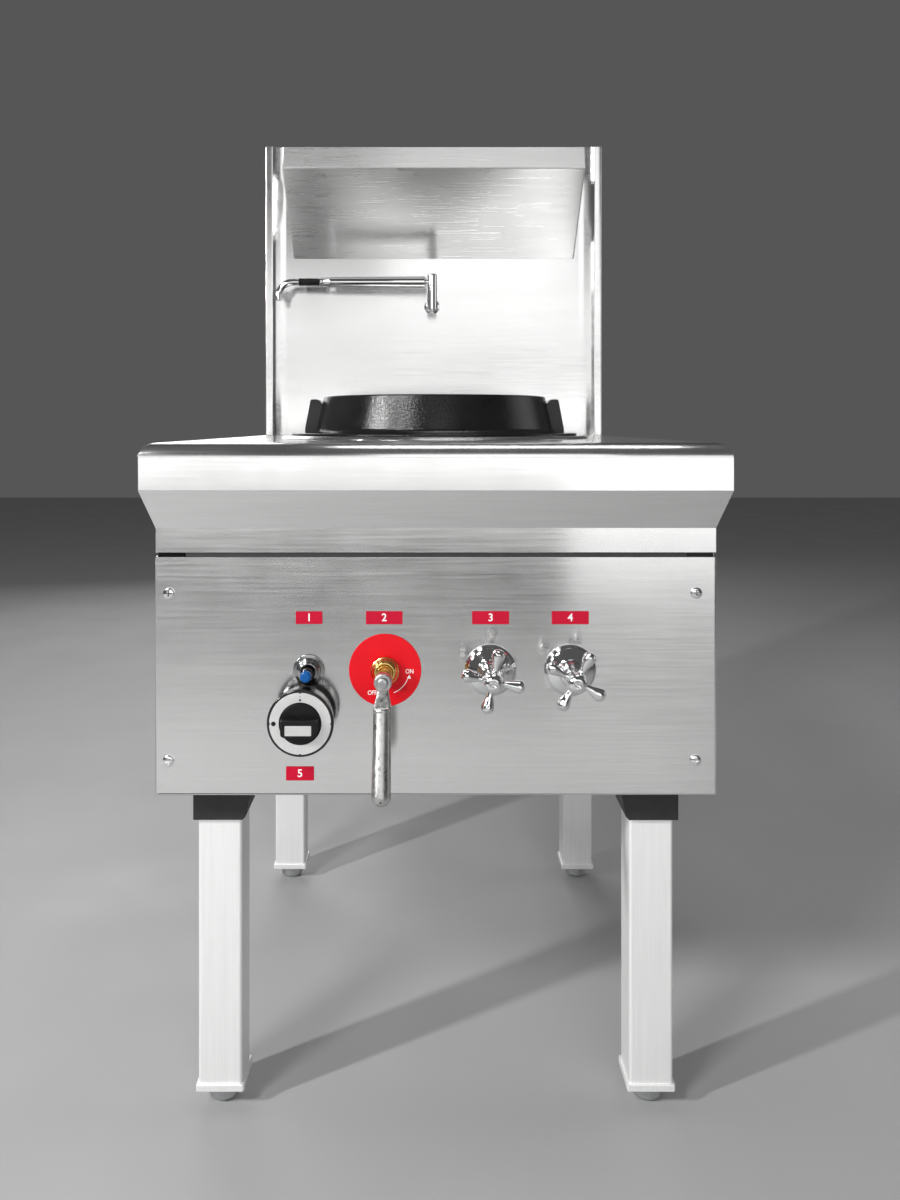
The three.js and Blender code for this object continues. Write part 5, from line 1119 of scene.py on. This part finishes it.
def make_cross(kind, turn):
    centre = axis_of(f"{kind}_valve_bonnet")
    profile = [
        (0, 35), (7.5, 35, 0.8), (7.5, 41, 2), (10.2, 44, 3.5), (10.9, 53, 5), (9.8, 60.5, 5),
        (5.6, 63.6, 2.4), (3, 63.6, 0.5), (2.8, 61, 0.6), (0, 61),
    ]
    shapes = [lathe("hub", profile, centre, steps=6)]
    start = shifted(centre, 0, ARM_PLANE, 0)
    for quarter in range(4):
        angle = radians(turn + 90 * quarter)
        way = Vector((cos(angle), 0, sin(angle)))
        path = [start + way * reach * MM for reach, _ in ARM_PROFILE]
        shapes.append(sweep("arm", path, [radius * MM for _, radius in ARM_PROFILE], SMALL))
    handle = moulded(joined("shape", shapes), 4)
    stem = rod("stem", STEM_RADIUS, -39, 40, centre, SMALL)
    cross = joined(f"{kind}_cross", [handle, stem], 60)
    cross["cast"] = True
    dressed(cross, "chrome", f"{kind}_valve_handle", body=f"{kind}_handle")


def make_water_controls():
    for kind in VALVES:
        make_bonnet(kind)
    for kind, turn in VALVES.items():
        make_cross(kind, turn)


# ---------- label plates

LABEL_FRONT = 0.7
LABELS = (  # figure, x, z, width, height
    ("1", -140, 569, 29.5, 14),
    ("2", -57, 569, 40.5, 14.5),
    ("3", 60.5, 569, 41, 14.5),
    ("4", 148.5, 569, 41, 14.5),
    ("5", -150, 397, 31, 15.5),
)


def make_labels():
    for figure, x, z, width, height in LABELS:
        spot = shifted(PANEL, x, 0, z)
        outline = rounded(oblong(width / 2, height / 2), 0.7, closed=True, steps=4)
        plate = panel_block(f"label_{figure}", outline, spot, 0.05, LABEL_FRONT)
        dressed(bevel(plate, 0.18, 2, 50), "crimson_label")
        lettering(f"label_figure_{figure}", figure, 12.0, shifted(spot, 0, LABEL_FRONT, 0), 0.08)


# ---------- faucet

POST_RADIUS = 8.6
SEAM_RISE = 29  # from the level of the shank to the seam where the arm turns
PEG_RADIUS = 5  # of the peg on which the arm turns
ARM_RISE = 8
HEAD_HEIGHT = 22.5
ARM_LENGTH = 198
ARM_NECK = 6
ARM_ROOT = 10
ARM_END = 8.7
ARM_SHOULDER = POST_RADIUS + 2.5
COLLAR = 8
COLLAR_BACK = ARM_LENGTH - 7
COLLAR_TAPER = 11
SLEEVE_RADIUS = 6.0
RIB_RADIUS = 6.8
RIBS = 7
SPOUT_RADIUS = 5.9
SPOUT_BORE = 4.5
SPOUT_BEND = 26


def make_post(seam, axis_x, axis_y):
    """The faucet's post with the shank that goes through the splashback."""
    lowest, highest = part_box("faucet_body")
    level = seam - SEAM_RISE * MM
    centre = Vector((axis_x, axis_y, level))
    wall = (high("splash_panel").y - axis_y) / MM - SHEET - GAP
    profile = [
        (0, -wall), (14, -wall, 0.4), (14, 2.2 - wall, 1.2), (10.5, 6 - wall, 2.5), (8, 7 - wall, 1.5),
        (8, 0), (0, 0),
    ]
    rosette = lathe("rosette", profile, centre)
    shank = rod("shank", 8, (axis_y - highest.y) / MM, 1 - wall, centre)
    foot = (lowest.z - level) / MM
    profile = [
        (0, foot), (POST_RADIUS, foot, 3.6), (POST_RADIUS, SEAM_RISE, 0.5), (PEG_RADIUS, SEAM_RISE, 0.2),
        (PEG_RADIUS, SEAM_RISE + 10), (0, SEAM_RISE + 10),
    ]
    post = lathe("faucet_post", profile, centre, "up", steps=6)
    dressed(combine(post, [rosette, shank], sharp=40), "chrome", "faucet_body")


def make_arm(head_foot, arm_root):
    profile = [
        (0, 10.3), (PEG_RADIUS + 0.5, 10.3), (PEG_RADIUS + 0.5, 0), (POST_RADIUS, 0, 0.5),
        (POST_RADIUS, HEAD_HEIGHT, 3.6), (0, HEAD_HEIGHT),
    ]
    head = lathe("swing_pipe", profile, head_foot, "up", steps=6)
    profile = [
        (0, 4), (ARM_NECK, 4), (ARM_NECK, ARM_SHOULDER, 0.6), (ARM_ROOT, ARM_SHOULDER + 0.8, 2.4),
        (ARM_END, COLLAR_BACK - COLLAR_TAPER, 8), (COLLAR - 0.9, COLLAR_BACK, 0.8),
        (COLLAR, ARM_LENGTH - 5.6, 1.2), (COLLAR, ARM_LENGTH, 1), (0, ARM_LENGTH),
    ]
    pipe = lathe("pipe", profile, arm_root, "left", steps=4)
    dressed(combine(head, [pipe], sharp=40), "chrome", "faucet_arm", body="swing_arm")


def make_sleeve(arm_root):
    lowest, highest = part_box("faucet_sleeve")
    start = (arm_root.x - highest.x) / MM
    length = (highest.x - lowest.x) / MM
    ribs = [(0, start), (SLEEVE_RADIUS, start)]
    for k in range(RIBS):
        a = start + length * (k + 0.12) / RIBS
        b = start + length * (k + 0.88) / RIBS
        ribs += [(SLEEVE_RADIUS, a), (RIB_RADIUS, a + 0.5), (RIB_RADIUS, b - 0.5), (SLEEVE_RADIUS, b)]
    ribs += [(SLEEVE_RADIUS, start + length), (0, start + length)]
    sleeve = lathe("rubber_sleeve", [(*p, 0.25) for p in ribs], arm_root, "left", steps=2)
    dressed(sleeve, "black_plastic", "faucet_sleeve", body="swing_arm")


def make_spout(arm_root):
    lowest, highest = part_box("faucet_spout")
    start = Vector((highest.x, arm_root.y, arm_root.z))
    bend = Vector((lowest.x + SPOUT_RADIUS * MM, arm_root.y, arm_root.z))
    mouth = Vector((bend.x, arm_root.y, lowest.z))
    path = bent(start, bend, mouth, SPOUT_BEND * MM, 16)
    outer = sweep("spout", path, [SPOUT_RADIUS * MM] * len(path))
    longer = [path[0] + (path[0] - path[1]).normalized() * MM, *path[1:-1], mouth + Vector((0, 0, -MM))]
    combine(outer, [sweep("bore", longer, [SPOUT_BORE * MM] * len(path))], "DIFFERENCE")
    profile = [(4.6, 0), (5.85, 0, 0.4), (5.85, 1.6, 0.4), (4.6, 1.6)]
    lip = lathe("lip", profile, mouth, "up", steps=3)
    dressed(joined("spout_pipe", [outer, lip]), "chrome", "faucet_spout", body="swing_arm")


def make_faucet():
    axis_x = middle("faucet_body").x
    axis_y = middle("faucet_arm").y
    seam = high("faucet_arm").z - (HEAD_HEIGHT + GAP) * MM
    make_post(seam, axis_x, axis_y)
    head_foot = Vector((axis_x, axis_y, seam + GAP * MM))
    arm_root = head_foot + Vector((0, 0, ARM_RISE)) * MM
    make_arm(head_foot, arm_root)
    make_sleeve(arm_root)
    make_spout(arm_root)


# ---------- nodes that keep their shape

# the front rail's finish is painted shade, for the dark gap above the front panel
CARRIED = {
    "front_rail": "rail_painted_shade", "flue_duct": "dull_steel", "combustion_chamber": "dull_steel",
    "chamber_lining": "refractory", "chamber_stand": "dull_steel", "gas_manifold": "dull_steel",
    "burner_supply_pipe": "dull_steel", "main_gas_valve": "brass", "lever_spindle": "brass",
    "pilot_spindle": "dull_steel", "pilot_valve": "brass", "pilot_pipe": "brass",
    "pilot_burner": "dull_steel", "igniter_lead": "red_silicone", "igniter_electrode": "porcelain",
    "tank_valve": "brass", "faucet_valve": "brass", "water_manifold": "brass",
    "faucet_feed_pipe": "brass", "tank_feed_pipe": "brass",
}


def dress_carried_nodes():
    """Inner pieces that need no new shape: each CAD node as it is, with clean edges and its finish."""
    for node, finish in CARRIED.items():
        copy = folded_copy(node + "_made", node, edge=0)
        dressed(copy, finish, node, body=body_of(NODES[node])[0])


# ---------- stage, light and camera


def make_stage():
    plain("pale_floor", (0.42,) * 3, 0.55, 0.02, 2.0)
    floor = column("studio_floor", Vector((0, 0)), 9.0, 2.0, -0.02, 0.0, steps=12)
    floor.data.materials.append(FINISHES["pale_floor"])


def area_light(name, place, target, width, height, radiance, mirrored=True):
    """A soft panel of light that faces its target, or straight back. Its power follows from its radiance."""
    target = target or (place[0], 0, place[2])
    lamp = bpy.data.lights.new(name, "AREA")
    lamp.shape = "RECTANGLE"
    lamp.size = width
    lamp.size_y = height
    lamp.energy = 4 * radiance * width * height
    holder = object_of(name, lamp)
    holder.location = place
    holder.rotation_euler = (Vector(target) - Vector(place)).to_track_quat("-Z", "Y").to_euler()
    holder.visible_camera = False
    holder.visible_glossy = mirrored


def make_lights():
    area_light("nose_strip", (0, -3.6, 0.71), None, 3.6, 0.34, 2.0)
    area_light("low_right_light", (1.2, -3.6, 0.29), None, 1.21, 0.42, 0.95)
    area_light("left_panel_light", (-1.05, -3.6, 1.435), None, 1.55, 0.57, 1.08)
    area_light("middle_panel_light", (0.29, -3.6, 1.875), None, 1.13, 1.45, 1.05)
    area_light("right_panel_light", (1.33, -3.6, 1.515), None, 0.95, 0.73, 1.05)
    area_light("key_lamp", (-1.7, -2.6, 2.7), (0, -0.2, 0.6), 0.7, 0.6, 30.0)
    area_light("ring_lamp", (-2.3, -1.65, 1.7), (0, -0.1, 0.8), 0.11, 0.45, 290.0)
    area_light("top_softbox", (0.275, -0.22, 3.2), (0.275, -0.22, 0.6), 1.2, 0.6, 4.4)
    area_light("right_softbox", (2.9, 0.4, 1.2), (0, 0, 0.7), 1.6, 1.8, 0.9)
    area_light("back_softbox", (-0.9, 3.0, 1.9), (0, 0, 0.8), 2.2, 1.6, 2.4)
    area_light("leg_fill", (0, -1.9, 0.3), (0, 0, 0.2), 1.6, 0.3, 2.6, mirrored=False)
    world = bpy.data.worlds.new("studio")
    world.use_nodes = True
    background = world.node_tree.nodes["Background"]
    background.inputs["Color"].default_value = (0.93, 0.93, 0.93, 1)
    background.inputs["Strength"].default_value = 0.10
    bpy.context.scene.world = world
    bpy.context.scene.view_settings.view_transform = "Standard"


def make_camera():
    lens = bpy.data.cameras.new("camera")
    lens.lens = 29.49
    lens.shift_x = 0.0167
    lens.shift_y = -0.1467
    holder = object_of("camera", lens)
    holder.location = (-0.0065, -1.4551, 0.783)
    holder.rotation_euler = (pi / 2, 0, 0)
    bpy.context.scene.camera = holder


make_deck()
make_ring_seat()
make_panels()
make_panel_screws()
make_splash()
make_tank()
make_legs()
make_wok_ring()
make_burner()
make_lever_plate()
make_lever_nut()
make_lever()
make_dial()
make_knob()
make_igniter()
make_water_controls()
make_labels()
make_faucet()
dress_carried_nodes()
make_stage()
make_lights()
make_camera()
